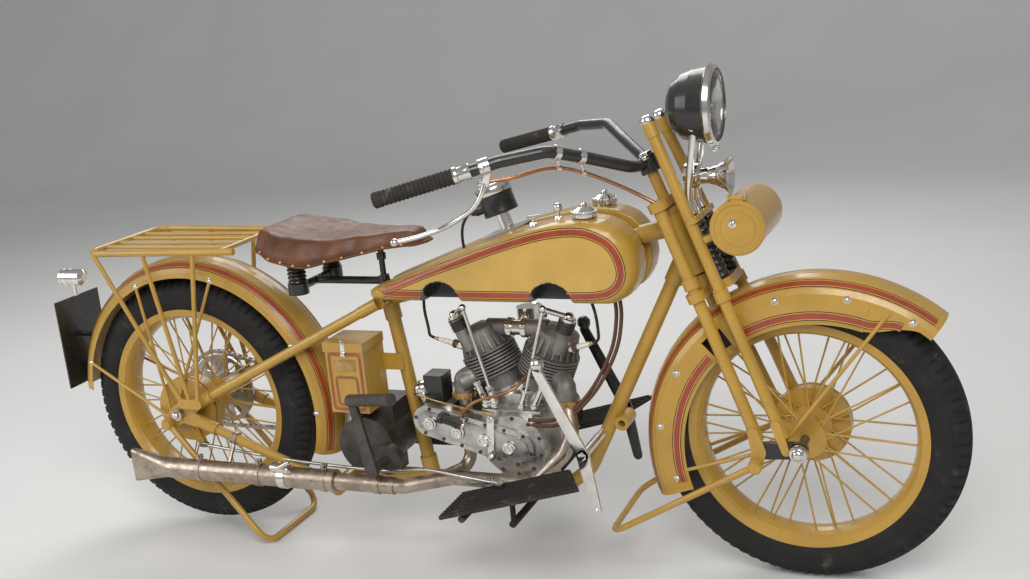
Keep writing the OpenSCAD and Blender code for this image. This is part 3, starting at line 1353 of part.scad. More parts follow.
module toolbox_lid() color(paint) translate(box_centre) difference() {
    union() {
        cross_bar([0, 0], -box_half - lid_t, -box_half - seat_gap, box_r + lid_lip);
        long_bar(-hinge_half, hinge_half, hinge_y, hinge_z, hinge_r);
        translate([-hinge_half, -box_half - lid_t, box_r - ear_root])
            cube([2 * hinge_half, lid_t - seat_gap, ear_root + hinge_r]);
    }
    long_bar(-hinge_half - cut, hinge_half + cut, hinge_y, hinge_z, hinge_pin_r + run_gap);
}

// Front brake's fixed plate on the left
module front_brake() color(paint) at_front() difference() {
    in = hub_half + front_drum_w + free_gap + cut / 2;
    union() {
        cross_bar([0, 0], in, in + plate_wall, drum_r);
        cross_bar([0, 0], in, foot_half - rocker_t / 2 - seat_gap, brake_boss_r);
    }
    cross_bar([0, 0], hub_half, foot_half, axle_r + run_gap);
}

// Front stand, folded up behind the fork's feet
front_fold = 29.4;  // folded legs below level, in degrees
front_pivot = on_fork(-front_pivot_back, 0, front_pivot_up);
front_stand_y = foot_half + rocker_t / 2 + seat_gap + cheek_t + end_float + eye_w / 2;
module front_stand() color(paint) translate(front_pivot) rotate([0, 90 - front_fold, 0])
    stand_frame(front_stand_y, front_stand_len, front_leg_r);

// Each piece by its name
parked() steering_head();
parked() top_tube();
parked() down_tube();
parked() seat_tube();
parked() rear_stays();
parked() axle_lugs();
parked() rear_axle();
parked() tank_right();
parked() tank_left();
parked() tank_fittings();
parked() saddle();
parked() seat_post();
parked() battery_box();
parked() crankcase();
parked() timing_cover();
parked() front_cylinder();
parked() rear_cylinder();
parked() valve_gear();
parked() intake();
parked() generator();
parked() exhaust();
parked() gearbox();
parked() kick_starter();
parked() primary_cover();
parked() drive_chain();
parked() footboard_right();
parked() footboard_left();
parked() hand_levers();
parked() rear_fender();
parked() luggage_rack();
parked() tail_lamp();
parked() number_plate();
parked() rear_brake();
parked() rear_tyre();
parked() rear_wheel();
parked() rear_sprocket();
rear_stand();
parked() rigid_fork();
parked() spring_fork();
parked() fork_springs();
parked() rockers();
parked() front_fender();
parked() handlebar();
parked() grips();
parked() headlamp();
parked() headlamp_rim();
parked() headlamp_lens();
parked() horn();
parked() toolbox();
parked() toolbox_lid();
parked() front_brake();
parked() front_tyre();
parked() front_wheel();
parked() front_stand();
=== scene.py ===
"""Looks of a vintage V-twin motorcycle, dressed over its CAD frame."""

import json
import math

import bpy
from bpy.props import FloatProperty, FloatVectorProperty, IntProperty, PointerProperty
from bpy.types import Operator, Panel, PropertyGroup
from mathutils import Matrix, Vector


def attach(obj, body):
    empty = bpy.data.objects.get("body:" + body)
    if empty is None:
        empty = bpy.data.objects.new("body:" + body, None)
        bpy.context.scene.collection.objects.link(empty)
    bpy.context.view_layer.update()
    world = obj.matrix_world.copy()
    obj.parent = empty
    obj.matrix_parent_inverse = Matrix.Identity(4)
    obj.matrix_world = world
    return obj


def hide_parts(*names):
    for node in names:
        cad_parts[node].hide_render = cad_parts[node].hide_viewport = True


bl_info = {
    "name": "Vintage Motorcycle Looks",
    "version": (1, 0, 0),
    "blender": (4, 5, 0),
    "location": "View3D > Sidebar > Motorcycle",
    "description": "Paint, leather, rubber, plating and trim for the packed motorcycle",
    "category": "Object",
}

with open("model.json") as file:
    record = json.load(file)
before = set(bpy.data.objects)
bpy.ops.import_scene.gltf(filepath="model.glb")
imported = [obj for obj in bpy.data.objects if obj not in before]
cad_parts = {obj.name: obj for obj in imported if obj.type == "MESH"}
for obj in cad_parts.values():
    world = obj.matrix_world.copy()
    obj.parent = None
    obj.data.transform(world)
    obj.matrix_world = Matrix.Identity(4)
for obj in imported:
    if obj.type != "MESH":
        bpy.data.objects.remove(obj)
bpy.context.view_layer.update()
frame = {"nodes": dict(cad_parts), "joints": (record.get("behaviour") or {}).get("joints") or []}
JOINTS = {j["name"]: j for j in frame["joints"]}

# Level machine, in millimetres: X from the middle of the wheelbase, Z from the floor.
HALF_BASE = 755.5
AXLE_Z = 321
MM = 0.001       # a millimetre in metres
TO_MM = 1000   # a metre in millimetres
FENDER_R = 376
FENDER_HALF = 64
FENDER_DROP = 44
REAR_FENDER = (-730.5, 321)
FRONT_FENDER = (788.5, 292)
CRANK = (122, 291)
HALF_VEE = math.radians(22.5)
RAKE = math.radians(22.2)
AXLE_LEAD = 71
FORK_FOOT = (HALF_BASE - AXLE_LEAD * math.cos(RAKE), AXLE_Z - AXLE_LEAD * math.sin(RAKE))
SIDES = (-1, 1)  # right and left


def parked_matrix():
    """Takes the level machine in millimetres to the parked machine in metres."""
    rear = Vector(JOINTS["rear_wheel_spin"]["pos_m"])
    front = Vector(JOINTS["front_wheel_spin"]["pos_m"])
    along = (front - rear).normalized()
    up = Vector((-along.z, 0, along.x))
    start = front - (along * HALF_BASE + up * AXLE_Z) * MM
    return Matrix((
        (along.x * MM, 0, up.x * MM, start.x),
        (0, MM, 0, 0),
        (along.z * MM, 0, up.z * MM, start.z),
        (0, 0, 0, 1),
    ))


PARKED = parked_matrix()


def on_fork(ahead, left, along):
    """Level place of a point given ahead of, left of and along the steering axis."""
    c, s = math.cos(RAKE), math.sin(RAKE)
    return Vector((FORK_FOOT[0] + ahead * c - along * s, left,
                   FORK_FOOT[1] + ahead * s + along * c))


def smooth_step(x):
    x = min(1, max(0, x))
    return x * x * (3 - 2 * x)


def through(points, x):
    """Value at x of a smooth line through (x, value) rows."""
    if x <= points[0][0]:
        return points[0][1]
    for (x0, v0), (x1, v1) in zip(points, points[1:]):
        if x <= x1:
            return v0 + (v1 - v0) * smooth_step((x - x0) / (x1 - x0))
    return points[-1][1]


# Modelling steps


def deselect():
    if bpy.context.object and bpy.context.object.mode != "OBJECT":
        bpy.ops.object.mode_set(mode="OBJECT")
    bpy.ops.object.select_all(action="DESELECT")


def only(piece):
    deselect()
    piece.select_set(True)
    bpy.context.view_layer.objects.active = piece


def modifier(piece, kind, **values):
    only(piece)
    made = piece.modifiers.new(kind.title(), kind)
    for key, value in values.items():
        setattr(made, key, value)
    bpy.ops.object.modifier_apply(modifier=made.name)


def baked(piece):
    """The selected piece, with its place, turn and scale put in its mesh."""
    bpy.ops.object.transform_apply(location=True, rotation=True, scale=True)
    return piece


def settle(piece, name, body, finish, angle=40):
    """Names a piece, puts its parked place in its mesh and lets it ride on a body.

    Its material becomes the finish, when one is given.
    """
    piece.name = piece.data.name = name
    only(piece)
    piece.matrix_world = PARKED @ piece.matrix_world
    baked(piece)
    bpy.ops.object.shade_smooth_by_angle(angle=math.radians(angle))
    if finish:
        piece.data.materials.clear()
        piece.data.materials.append(FINISHES[finish])
    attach(piece, body)
    return piece


def facing(at, axis):
    """Place that turns +Z to an axis and moves to a point."""
    return Matrix.Translation(at) @ Vector(axis).to_track_quat("Z", "Y").to_matrix().to_4x4()


def outward():
    """Merges doubles and turns all faces outwards, in edit mode."""
    bpy.ops.mesh.select_all(action="SELECT")
    bpy.ops.mesh.remove_doubles(threshold=0.0005)
    bpy.ops.mesh.normals_make_consistent(inside=False)
    bpy.ops.object.mode_set(mode="OBJECT")


def patch(nu, nv, shape):
    """Grid primitive whose points are moved to shape(u, v), with u and v from 0 to 1."""
    deselect()
    bpy.ops.mesh.primitive_grid_add(x_subdivisions=nu, y_subdivisions=nv, size=1)
    piece = bpy.context.object
    for point in piece.data.vertices:
        point.co = shape(point.co.x + 0.5, point.co.y + 0.5)
    return piece


def closed_patch(nu, nv, shape):
    """Patch whose meeting edges are merged, with its faces turned outwards."""
    piece = patch(nu, nv, shape)
    bpy.ops.object.mode_set(mode="EDIT")
    outward()
    return piece


def turned(profile, steps=40, at=(0, 0, 0), axis=(0, 0, 1)):
    """Spins a profile of (radius, height) rows about an axis through a point."""
    deselect()
    bpy.ops.mesh.primitive_plane_add(size=0.01)
    piece = bpy.context.object
    bpy.ops.object.mode_set(mode="EDIT")
    bpy.ops.mesh.select_all(action="SELECT")
    bpy.ops.mesh.merge(type="CENTER")
    bpy.ops.transform.translate(value=(profile[0][0], 0, profile[0][1]))
    for (r0, h0), (r1, h1) in zip(profile, profile[1:]):
        bpy.ops.mesh.extrude_region_move(TRANSFORM_OT_translate={"value": (r1 - r0, 0, h1 - h0)})
    bpy.ops.mesh.select_all(action="SELECT")
    bpy.ops.mesh.spin(steps=steps, angle=2 * math.pi, center=(0, 0, 0), axis=(0, 0, 1))
    outward()
    piece.matrix_world = facing(at, axis)
    only(piece)
    return baked(piece)


def tube(points, radius, steps=10, smooth=True, closed=False):
    """Round bar along a path, from a curve that is made a mesh."""
    deselect()
    bpy.ops.curve.primitive_nurbs_path_add()
    path = bpy.context.object
    path.data.splines.clear()
    spline = path.data.splines.new("NURBS" if smooth else "POLY")
    spline.points.add(len(points) - 1)
    for point, place in zip(spline.points, points):
        point.co = (*place, 1)
    spline.use_endpoint_u = True
    spline.use_cyclic_u = closed
    spline.order_u = 3
    spline.resolution_u = 8
    path.data.dimensions = "3D"
    path.data.bevel_depth = radius
    path.data.bevel_resolution = max(0, steps // 2 - 2)
    path.data.use_fill_caps = True
    bpy.ops.object.convert(target="MESH")
    return bpy.context.object


def block(size, at, bevel, turn=(0, 0, 0)):
    """Box of a size about a place, with rounded edges."""
    deselect()
    bpy.ops.mesh.primitive_cube_add(size=1)
    piece = bpy.context.object
    piece.scale = size
    bpy.ops.object.transform_apply(location=False, rotation=False, scale=True)
    modifier(piece, "BEVEL", width=bevel, segments=3, limit_method="ANGLE")
    piece.rotation_euler = turn
    piece.location = at
    return baked(piece)


def joined(pieces):
    """Several finished meshes as one piece."""
    deselect()
    for piece in pieces:
        piece.select_set(True)
    bpy.context.view_layer.objects.active = pieces[0]
    if len(pieces) > 1:
        bpy.ops.object.join()
    return bpy.context.object


def copies(piece, places):
    """A shape that was modelled once, set at each 4x4 place and joined."""
    made = []
    for place in places:
        only(piece)
        bpy.ops.object.duplicate(linked=False)
        twin = bpy.context.object
        twin.matrix_world = place @ piece.matrix_world
        made.append(baked(twin))
    bpy.data.objects.remove(piece)
    return joined(made)


def plate(outline, y_from, y_to, bevel):
    """Flat piece: an outline of (x, z) rows, extruded along Y, with rounded edges."""
    deselect()
    bpy.ops.mesh.primitive_circle_add(vertices=len(outline), radius=1, fill_type="NGON")
    piece = bpy.context.object
    for point, place in zip(piece.data.vertices, outline):
        point.co = (place[0], y_from, place[1])
    bpy.ops.object.mode_set(mode="EDIT")
    bpy.ops.mesh.select_all(action="SELECT")
    bpy.ops.mesh.extrude_region_move(TRANSFORM_OT_translate={"value": (0, y_to - y_from, 0)})
    outward()
    modifier(piece, "BEVEL", width=bevel, segments=2, limit_method="ANGLE")
    return piece


def hexagon(r, height, at, axis):
    """Hexagon nut or head with its corners turned off."""
    deselect()
    bpy.ops.mesh.primitive_cylinder_add(vertices=6, radius=r, depth=height)
    piece = bpy.context.object
    piece.location = (0, 0, height / 2)
    baked(piece)
    modifier(piece, "BEVEL", width=min(r, height) * 0.16, segments=2, limit_method="ANGLE")
    piece.matrix_world = facing(at, axis)
    return baked(piece)


def screw(r, height):
    """Screw head with a turned recess, on +Z."""
    return turned([(0, height * 0.6), (r * 0.34, height * 0.6), (r * 0.34, height),
                   (r * 0.8, height), (r, height * 0.5), (r, -height), (0, -height)], 10)


def ring(inner, outer, width, at, axis, steps=32):
    """Round band with eased edges about an axis, from a point along it."""
    ease = min(outer - inner, width) * 0.3
    return turned([(inner, 0), (outer - ease, 0), (outer, ease), (outer, width - ease),
                   (outer - ease, width), (inner, width), (inner, 0)], steps, at, axis)


def rounded(points, bend, steps=6):
    """Path whose corners are eased over a length on each side."""
    rows = [Vector(points[0])]
    for a, b, c in zip(points, points[1:], points[2:]):
        a, b, c = Vector(a), Vector(b), Vector(c)
        start = b + (a - b).normalized() * min(bend, (a - b).length * 0.45)
        end = b + (c - b).normalized() * min(bend, (c - b).length * 0.45)
        for k in range(steps + 1):
            t = k / steps
            rows.append(start * (1 - t) ** 2 + b * 2 * t * (1 - t) + end * t * t)
    return rows + [Vector(points[-1])]


def curve_point(p0, p1, p2, p3, t):
    """Point between p1 and p2 of a smooth curve through four points."""
    return 0.5 * ((2 * p1) + (p2 - p0) * t + (2 * p0 - 5 * p1 + 4 * p2 - p3) * t * t
                  + (3 * p1 - p0 - 3 * p2 + p3) * t ** 3)


def flowing(points, steps=8):
    """Smooth path through points."""
    full = [Vector(p) for p in points]
    full = [full[0] * 2 - full[1]] + full + [full[-1] * 2 - full[-2]]
    rows = []
    for four in zip(full, full[1:], full[2:], full[3:]):
        rows += [curve_point(*four, k / steps) for k in range(steps)]
    return rows + [full[-2]]


def lead(name, points, radius, body, finish):
    """Cable, a round tube along a smooth path through the points."""
    path = flowing(points)
    piece = settle(tube(path, radius, 8, smooth=False), name, body, finish, angle=60)
    line = [PARKED @ point for point in path]
    length = sum((b - a).length for a, b in zip(line, line[1:]))
    tuple(line[0])
    [tuple(point) for point in line]
    return piece


# Finishes


class Finish:
    """Small helper that lays out the nodes of one material."""

    def __init__(self, name):
        self.material = bpy.data.materials.new(name)
        self.material.use_nodes = True
        self.tree = self.material.node_tree
        self.shader = self.tree.nodes["Principled BSDF"]
        self.coords = self.node("ShaderNodeTexCoord")

    def node(self, kind, **values):
        made = self.tree.nodes.new(kind)
        for key, value in values.items():
            setattr(made, key, value)
        return made

    def link(self, source, target):
        self.tree.links.new(source, target)

    def noise(self, scale, detail=4, rough=0.6, stretch=None):
        texture = self.node("ShaderNodeTexNoise")
        texture.inputs["Scale"].default_value = scale
        texture.inputs["Detail"].default_value = detail
        texture.inputs["Roughness"].default_value = rough
        if stretch:
            mapping = self.node("ShaderNodeMapping")
            mapping.inputs["Scale"].default_value = stretch
            self.link(self.coords.outputs["Object"], mapping.inputs["Vector"])
            self.link(mapping.outputs["Vector"], texture.inputs["Vector"])
        else:
            self.link(self.coords.outputs["Object"], texture.inputs["Vector"])
        return texture.outputs["Fac"]

    def ramp(self, factor, *stops):
        ramp = self.node("ShaderNodeValToRGB")
        line = ramp.color_ramp
        while len(line.elements) < len(stops):
            line.elements.new(0.5)
        for element, (place, colour) in zip(line.elements, stops):
            element.position = place
            element.color = (*colour, 1)
        self.link(factor, ramp.inputs["Fac"])
        return ramp.outputs["Color"]

    def levels(self, factor, low, high, start=0.3, end=0.7):
        spread = self.node("ShaderNodeMapRange")
        for key, value in zip(("From Min", "From Max", "To Min", "To Max"),
                              (start, end, low, high)):
            spread.inputs[key].default_value = value
        self.link(factor, spread.inputs["Value"])
        return spread.outputs["Result"]

    def mix(self, factor, a, b):
        mix = self.node("ShaderNodeMix", data_type="RGBA")
        self.link(factor, mix.inputs[0])
        for socket, value in ((mix.inputs[6], a), (mix.inputs[7], b)):
            if isinstance(value, tuple):
                socket.default_value = (*value, 1)
            else:
                self.link(value, socket)
        return mix.outputs[2]

    def math(self, kind, a, b=None):
        node = self.node("ShaderNodeMath", operation=kind)
        for socket, value in zip(node.inputs, (a, b)):
            if value is None:
                continue
            if isinstance(value, (int, float)):
                socket.default_value = value
            else:
                self.link(value, socket)
        return node.outputs[0]

    def bump(self, height, strength, distance):
        bump = self.node("ShaderNodeBump")
        bump.inputs["Strength"].default_value = strength
        bump.inputs["Distance"].default_value = distance
        self.link(height, bump.inputs["Height"])
        if self.shader.inputs["Normal"].is_linked:
            self.link(self.shader.inputs["Normal"].links[0].from_socket, bump.inputs["Normal"])
        self.link(bump.outputs["Normal"], self.shader.inputs["Normal"])

    def upward(self):
        """1 where a face looks up, for settled dust."""
        parts = self.node("ShaderNodeSeparateXYZ")
        self.link(self.node("ShaderNodeNewGeometry").outputs["Normal"], parts.inputs[0])
        return self.levels(parts.outputs["Z"], 0, 1, 0.35, 1)

    def set(self, **values):
        for key, value in values.items():
            socket = self.shader.inputs[key.replace("_", " ").title().replace("Ior", "IOR")]
            if isinstance(value, bpy.types.NodeSocket):
                self.link(value, socket)
            elif isinstance(value, tuple):
                socket.default_value = (*value, 1)
            else:
                socket.default_value = value
        return self.material


def shade(colour, by):
    """A colour made lighter or darker."""
    return tuple(min(1, c * by) for c in colour)


def enamel(name, colour, dust, rough=0.3):
    """Brushed enamel over sheet metal: cloudy colour, fine orange peel and dust on top."""
    f = Finish(name)
    cloud = f.noise(9, 5)
    body = f.ramp(cloud, (0.3, shade(colour, 0.86)), (0.55, colour), (0.8, shade(colour, 1.1)))
    chips = f.levels(f.noise(260, 3, 0.75), 0, 1, 0.70, 0.76)
    body = f.mix(f.math("MULTIPLY", chips, 0.5), body, shade(colour, 0.35))
    grime = f.math("MULTIPLY", f.upward(), f.levels(f.noise(24, 6), 0, dust, 0.35, 0.8))
    body = f.mix(grime, body, (0.33, 0.29, 0.22))
    f.bump(f.noise(420, 2), 0.06, 0.001)
    f.bump(f.noise(30, 3), 0.05, 0.002)
    return f.set(base_color=body, roughness=f.levels(f.noise(40, 5), rough - 0.08, rough + 0.16),
                 coat_weight=0.35, coat_roughness=0.12)


def plated(name, colour, rough, tarnish, amount):
    """Bright plating with smears and patches of tarnish."""
    f = Finish(name)
    patches = f.levels(f.noise(18, 7, 0.7), 0, amount, 0.45, 0.75)
    specks = f.levels(f.noise(320, 3, 0.7), 0, amount, 0.62, 0.72)
    both = f.math("MAXIMUM", patches, specks)
    body = f.mix(both, colour, tarnish)
    gloss = f.levels(f.noise(60, 5), rough * 0.6, rough * 1.7)
    f.bump(f.noise(120, 3), 0.03, 0.001)
    return f.set(base_color=body, metallic=1,
                 roughness=f.math("ADD", gloss, f.math("MULTIPLY", both, 0.25)))


def cast(name, colour, rough, metal, grit):
    """Cast metal: sandy grain, darker in the pores."""
    f = Finish(name)
    grain = f.noise(380, 4, 0.7)
    body = f.ramp(f.noise(22, 6), (0.3, shade(colour, 0.55)), (0.55, colour),
                  (0.8, shade(colour, 1.25)))
    body = f.mix(f.levels(grain, 0, 0.6, 0.55, 0.7), body, shade(colour, 0.4))
    f.bump(grain, grit, 0.0012)
    return f.set(base_color=body, metallic=metal,
                 roughness=f.levels(f.noise(50, 4), rough - 0.1, rough + 0.15))


def rubber(name, colour, dust):
    """Old rubber: matt, with fine cracks and grey dust."""
    f = Finish(name)
    grain = f.noise(300, 5, 0.7)
    body = f.ramp(f.noise(30, 6), (0.3, shade(colour, 0.7)), (0.6, colour), (0.8, dust))
    f.bump(grain, 0.25, 0.001)
    return f.set(base_color=body, roughness=f.levels(grain, 0.68, 0.9), specular_ior_level=0.3)


def leather(name, colour):
    """Worn saddle leather: pebbled grain, darker creases, stains and scuffs."""
    f = Finish(name)
    cells = f.node("ShaderNodeTexVoronoi", feature="DISTANCE_TO_EDGE")
    cells.inputs["Scale"].default_value = 420
    f.link(f.coords.outputs["Object"], cells.inputs["Vector"])
    creases = f.levels(cells.outputs["Distance"], 0, 1, 0, 0.16)
    stain = f.noise(12, 6, 0.65)
    body = f.ramp(stain, (0.28, shade(colour, 0.35)), (0.5, colour), (0.75, shade(colour, 1.7)))
    body = f.mix(f.levels(creases, 0.55, 0, 0, 1), body, shade(colour, 0.3))
    scuffs = f.levels(f.noise(90, 6, 0.75), 0, 0.55, 0.58, 0.75)
    body = f.mix(scuffs, body, shade(colour, 2.2))
    f.bump(creases, 0.22, 0.0006)
    f.bump(f.noise(26, 4), 0.25, 0.004)
    return f.set(base_color=body, roughness=f.levels(f.noise(34, 5), 0.32, 0.6))


def lined(name, edge, band, line):
    """Painted stripe across its UV width: dark edges, thin lines and a coloured band."""
    f = Finish(name)
    parts = f.node("ShaderNodeSeparateXYZ")
    f.link(f.coords.outputs["UV"], parts.inputs[0])
    wobble = f.math("MULTIPLY", f.math("SUBTRACT", f.noise(60, 2), 0.5), 0.08)
    from_mid = f.math("ABSOLUTE",
                      f.math("SUBTRACT", f.math("ADD", parts.outputs["Y"], wobble), 0.5))
    stripe = f.mix(f.levels(f.noise(30, 5), 0, 1), shade(band, 0.8), shade(band, 1.15))
    gold = f.math("LESS_THAN", f.math("ABSOLUTE", f.math("SUBTRACT", from_mid, 0.36)), 0.035)
    body = f.mix(gold, stripe, line)
    body = f.mix(f.math("GREATER_THAN", from_mid, 0.41), body, edge)
    return f.set(base_color=body, roughness=f.levels(f.noise(40, 5), 0.24, 0.45), coat_weight=0.3)


def plain(name, colour, rough, metal=0, grain=200, grit=0.08):
    """Small trim in one material, with a little grain."""
    f = Finish(name)
    body = f.ramp(f.noise(grain, 4), (0.3, shade(colour, 0.7)), (0.7, shade(colour, 1.15)))
    f.bump(f.noise(grain * 2, 3), grit, 0.0008)
    return f.set(base_color=body, metallic=metal,
                 roughness=f.levels(f.noise(grain, 4), rough * 0.8, rough * 1.2))


def glass(name):
    """Clear lens with faint upright ribs."""
    f = Finish(name)
    ribs = f.noise(40, 2, 0.5, stretch=(1, 8, 0.4))
    f.bump(ribs, 0.12, 0.002)
    return f.set(base_color=(0.96, 0.98, 0.98), roughness=0.04, ior=1.45, transmission_weight=1)


# Sizes and colours that a user would change


class MotorcyclePaint(PropertyGroup):
    enamel: FloatVectorProperty(
        name="Enamel", description="Ochre enamel of the frame, tank and fenders",
        subtype="COLOR", size=3, min=0.0, max=1.0, default=(0.455, 0.262, 0.038))
    panel: FloatVectorProperty(
        name="Tank panel", description="Paler enamel inside the tank's stripe",
        subtype="COLOR", size=3, min=0.0, max=1.0, default=(0.545, 0.335, 0.068))
    stripe: FloatVectorProperty(
        name="Stripe", description="Red-brown band of the painted stripes",
        subtype="COLOR", size=3, min=0.0, max=1.0, default=(0.30, 0.050, 0.016))
    hide: FloatVectorProperty(
        name="Leather", description="Leather of the saddle",
        subtype="COLOR", size=3, min=0.0, max=1.0, default=(0.138, 0.043, 0.007))
    floor: FloatVectorProperty(
        name="Floor", description="Floor and backdrop of the studio",
        subtype="COLOR", size=3, min=0.0, max=1.0, default=(0.72, 0.71, 0.69))


class MotorcycleSizes(PropertyGroup):
    stripe_width: FloatProperty(
        name="Stripe width", description="Width of the painted stripes",
        subtype="DISTANCE", unit="LENGTH", min=0.004, max=0.03, default=0.019)
    tread_depth: FloatProperty(
        name="Tread depth", description="Depth of the tyres' tread grooves",
        subtype="DISTANCE", unit="LENGTH", min=0.001, max=0.006, default=0.004)
    tread_blocks: IntProperty(
        name="Tread blocks", description="Blocks round each tyre's shoulder",
        min=40, max=120, default=84)
    skin: FloatProperty(
        name="Paint film", description="Height of a painted stripe over its surface",
        subtype="DISTANCE", unit="LENGTH", min=0.0001, max=0.001, default=0.0004)


FINISHES = {}

# CAD nodes by their finish
NODE_FINISH = {
    "enamel": (
        "steering_head", "top_tube", "down_tube", "seat_tube", "rear_stays", "axle_lugs",
        "battery_box",
        "rear_fender", "luggage_rack", "rear_brake", "rear_wheel", "rear_stand", "rigid_fork",
        "spring_fork", "front_fender", "toolbox", "toolbox_lid", "front_brake", "front_wheel",
        "front_stand", "tank_right", "tank_left",
    ),
    "black": ("seat_post", "generator", "primary_cover", "number_plate", "fork_springs", "rockers",
              "handlebar", "headlamp"),
    "nickel": ("tank_fittings", "valve_gear", "intake", "tail_lamp", "headlamp_rim", "horn",
               "hand_levers"),
    "aged": ("exhaust",),
    "steel": ("rear_axle", "drive_chain", "rear_sprocket"),
    "alloy": ("crankcase", "timing_cover"),
    "iron": ("front_cylinder", "rear_cylinder"),
    "dark_case": ("gearbox", "kick_starter"),
    "tyre": ("front_tyre", "rear_tyre"),
    "rubber": ("footboard_right", "footboard_left", "grips"),
    "leather": ("saddle",),
    "glass": ("headlamp_lens",),
}


class MOTO_OT_finishes(Operator):
    """Make the finishes and put one on each CAD node"""

    bl_idname = "moto.finishes"
    bl_label = "Finishes"

    def execute(self, context):
        paint = context.scene.moto_paint
        FINISHES.update(
            enamel=enamel("ochre_enamel", tuple(paint.enamel), 0.30),
            panel=enamel("pale_enamel", tuple(paint.panel), 0.15, 0.24),
            black=enamel("black_enamel", (0.014, 0.013, 0.012), 0.4, 0.26),
            nickel=plated("bright_nickel", (0.80, 0.78, 0.74), 0.11, (0.40, 0.31, 0.22), 0.45),
            aged=plated("aged_nickel", (0.50, 0.42, 0.34), 0.30, (0.13, 0.075, 0.045), 0.85),
            steel=plated("bright_steel", (0.52, 0.50, 0.47), 0.28, (0.19, 0.13, 0.09), 0.6),
            alloy=cast("polished_alloy", (0.62, 0.60, 0.56), 0.30, 0.95, 0.10),
            iron=cast("grey_iron", (0.27, 0.25, 0.225), 0.52, 0.75, 0.35),
            dark_case=cast("oily_case", (0.10, 0.088, 0.075), 0.45, 0.6, 0.3),
            tyre=rubber("tyre_rubber", (0.018, 0.017, 0.016), (0.075, 0.068, 0.058)),
            rubber=rubber("dusty_rubber", (0.035, 0.029, 0.024), (0.19, 0.16, 0.125)),
            leather=leather("saddle_leather", tuple(paint.hide)),
            glass=glass("lens_glass"),
            stripe=lined("painted_stripe", (0.020, 0.014, 0.010), tuple(paint.stripe),
                         (0.62, 0.36, 0.07)),
            brass=plated("aged_brass", (0.62, 0.41, 0.16), 0.26, (0.21, 0.11, 0.04), 0.6),
            copper=plated("oil_copper", (0.50, 0.24, 0.12), 0.28, (0.17, 0.07, 0.035), 0.6),
            cable=plain("brown_cable", (0.10, 0.040, 0.020), 0.6, 0, 260, 0.3),
            ceramic=plain("plug_ceramic", (0.72, 0.69, 0.62), 0.25),
            red_glass=plain("red_lens", (0.30, 0.008, 0.006), 0.12),
            dial=plain("dial_face", (0.62, 0.59, 0.50), 0.5),
        )
        for finish, nodes in NODE_FINISH.items():
            for name in nodes:
                node = frame["nodes"][name]
                node.data.materials.clear()
                node.data.materials.append(FINISHES[finish])
        return {"FINISHED"}


# Fuel tank

TANK_REAR = -195
TANK_LEN = 632
TANK_Z = 616
TANK_H = 180
TANK_INNER = 20.3    # faces of a half, from the centre line
TANK_OUTER = 117.6
HOLLOWS = (-6, 250)
HOLLOW_R = 50
TANK_OUTLINE = (
    (0.00, 0.03), (0.05, 0.00), (0.92, 0.00), (0.965, 0.09), (0.99, 0.24), (1.00, 0.40),
    (0.995, 0.58), (0.975, 0.75), (0.94, 0.89), (0.89, 0.97), (0.82, 1.00), (0.72, 0.97),
    (0.58, 0.86), (0.42, 0.68), (0.18, 0.36), (0.00, 0.12),
)
# Teardrop of the stripe's middle line, in the same shares
STRIPE_LOOP = (
    (0.075, 0.145), (0.13, 0.125), (0.30, 0.12), (0.50, 0.12), (0.70, 0.12), (0.86, 0.13),
    (0.925, 0.20),
    (0.952, 0.36), (0.945, 0.56), (0.915, 0.73), (0.86, 0.84), (0.79, 0.875), (0.68, 0.83),
    (0.54, 0.70),
    (0.40, 0.54), (0.25, 0.37), (0.135, 0.22),
)


def tank_point(share):
    """Level (x, z) of a point given in shares of the tank's length and height."""
    return TANK_REAR + share[0] * TANK_LEN, TANK_Z + share[1] * TANK_H


def from_hollow(x, z):
    """Distance of a point from the middle of the nearer hollow."""
    return min(math.hypot(x - middle, z - TANK_Z) for middle in HOLLOWS)


def closed_line(points, count):
    """Evenly spaced points on a smooth closed line through points."""
    rows = []
    total = len(points)
    for i in range(total):
        four = [Vector(points[(i + k - 1) % total]) for k in range(4)]
        rows += [curve_point(*four, k / 16) for k in range(16)]
    return even_points(rows, count)


def even_points(rows, count):
    """Evenly spaced points on a closed outline."""
    rows = [Vector(row) for row in rows]
    lengths = [0]
    for a, b in zip(rows, rows[1:] + rows[:1]):
        lengths.append(lengths[-1] + (b - a).length)
    even, k = [], 0
    for i in range(count):
        goal = lengths[-1] * i / count
        while lengths[k + 1] < goal:
            k += 1
        share = (goal - lengths[k]) / (lengths[k + 1] - lengths[k])
        even.append(rows[k].lerp(rows[(k + 1) % len(rows)], share))
    return even


def belt_line(a, a_r, b, b_r, count):
    """Evenly spaced points on the outline round two circles."""
    along = math.atan2(b[1] - a[1], b[0] - a[0])
    apart = math.acos((a_r - b_r) / math.dist(a, b))
    rows = []
    for k in range(25):
        t = along + apart + (2 * math.pi - 2 * apart) * k / 24
        rows.append((a[0] + a_r * math.cos(t), a[1] + a_r * math.sin(t)))
    for k in range(25):
        t = along - apart + 2 * apart * k / 24
        rows.append((b[0] + b_r * math.cos(t), b[1] + b_r * math.sin(t)))
    return even_points(rows, count)


def inside(point, loop):
    """Whether a point lies in a closed loop."""
    hit = False
    for a, b in zip(loop, loop[1:] + loop[:1]):
        if (a.y > point[1]) != (b.y > point[1]):
            if point[0] < a.x + (b.x - a.x) * (point[1] - a.y) / (b.y - a.y):
                hit = not hit
    return hit


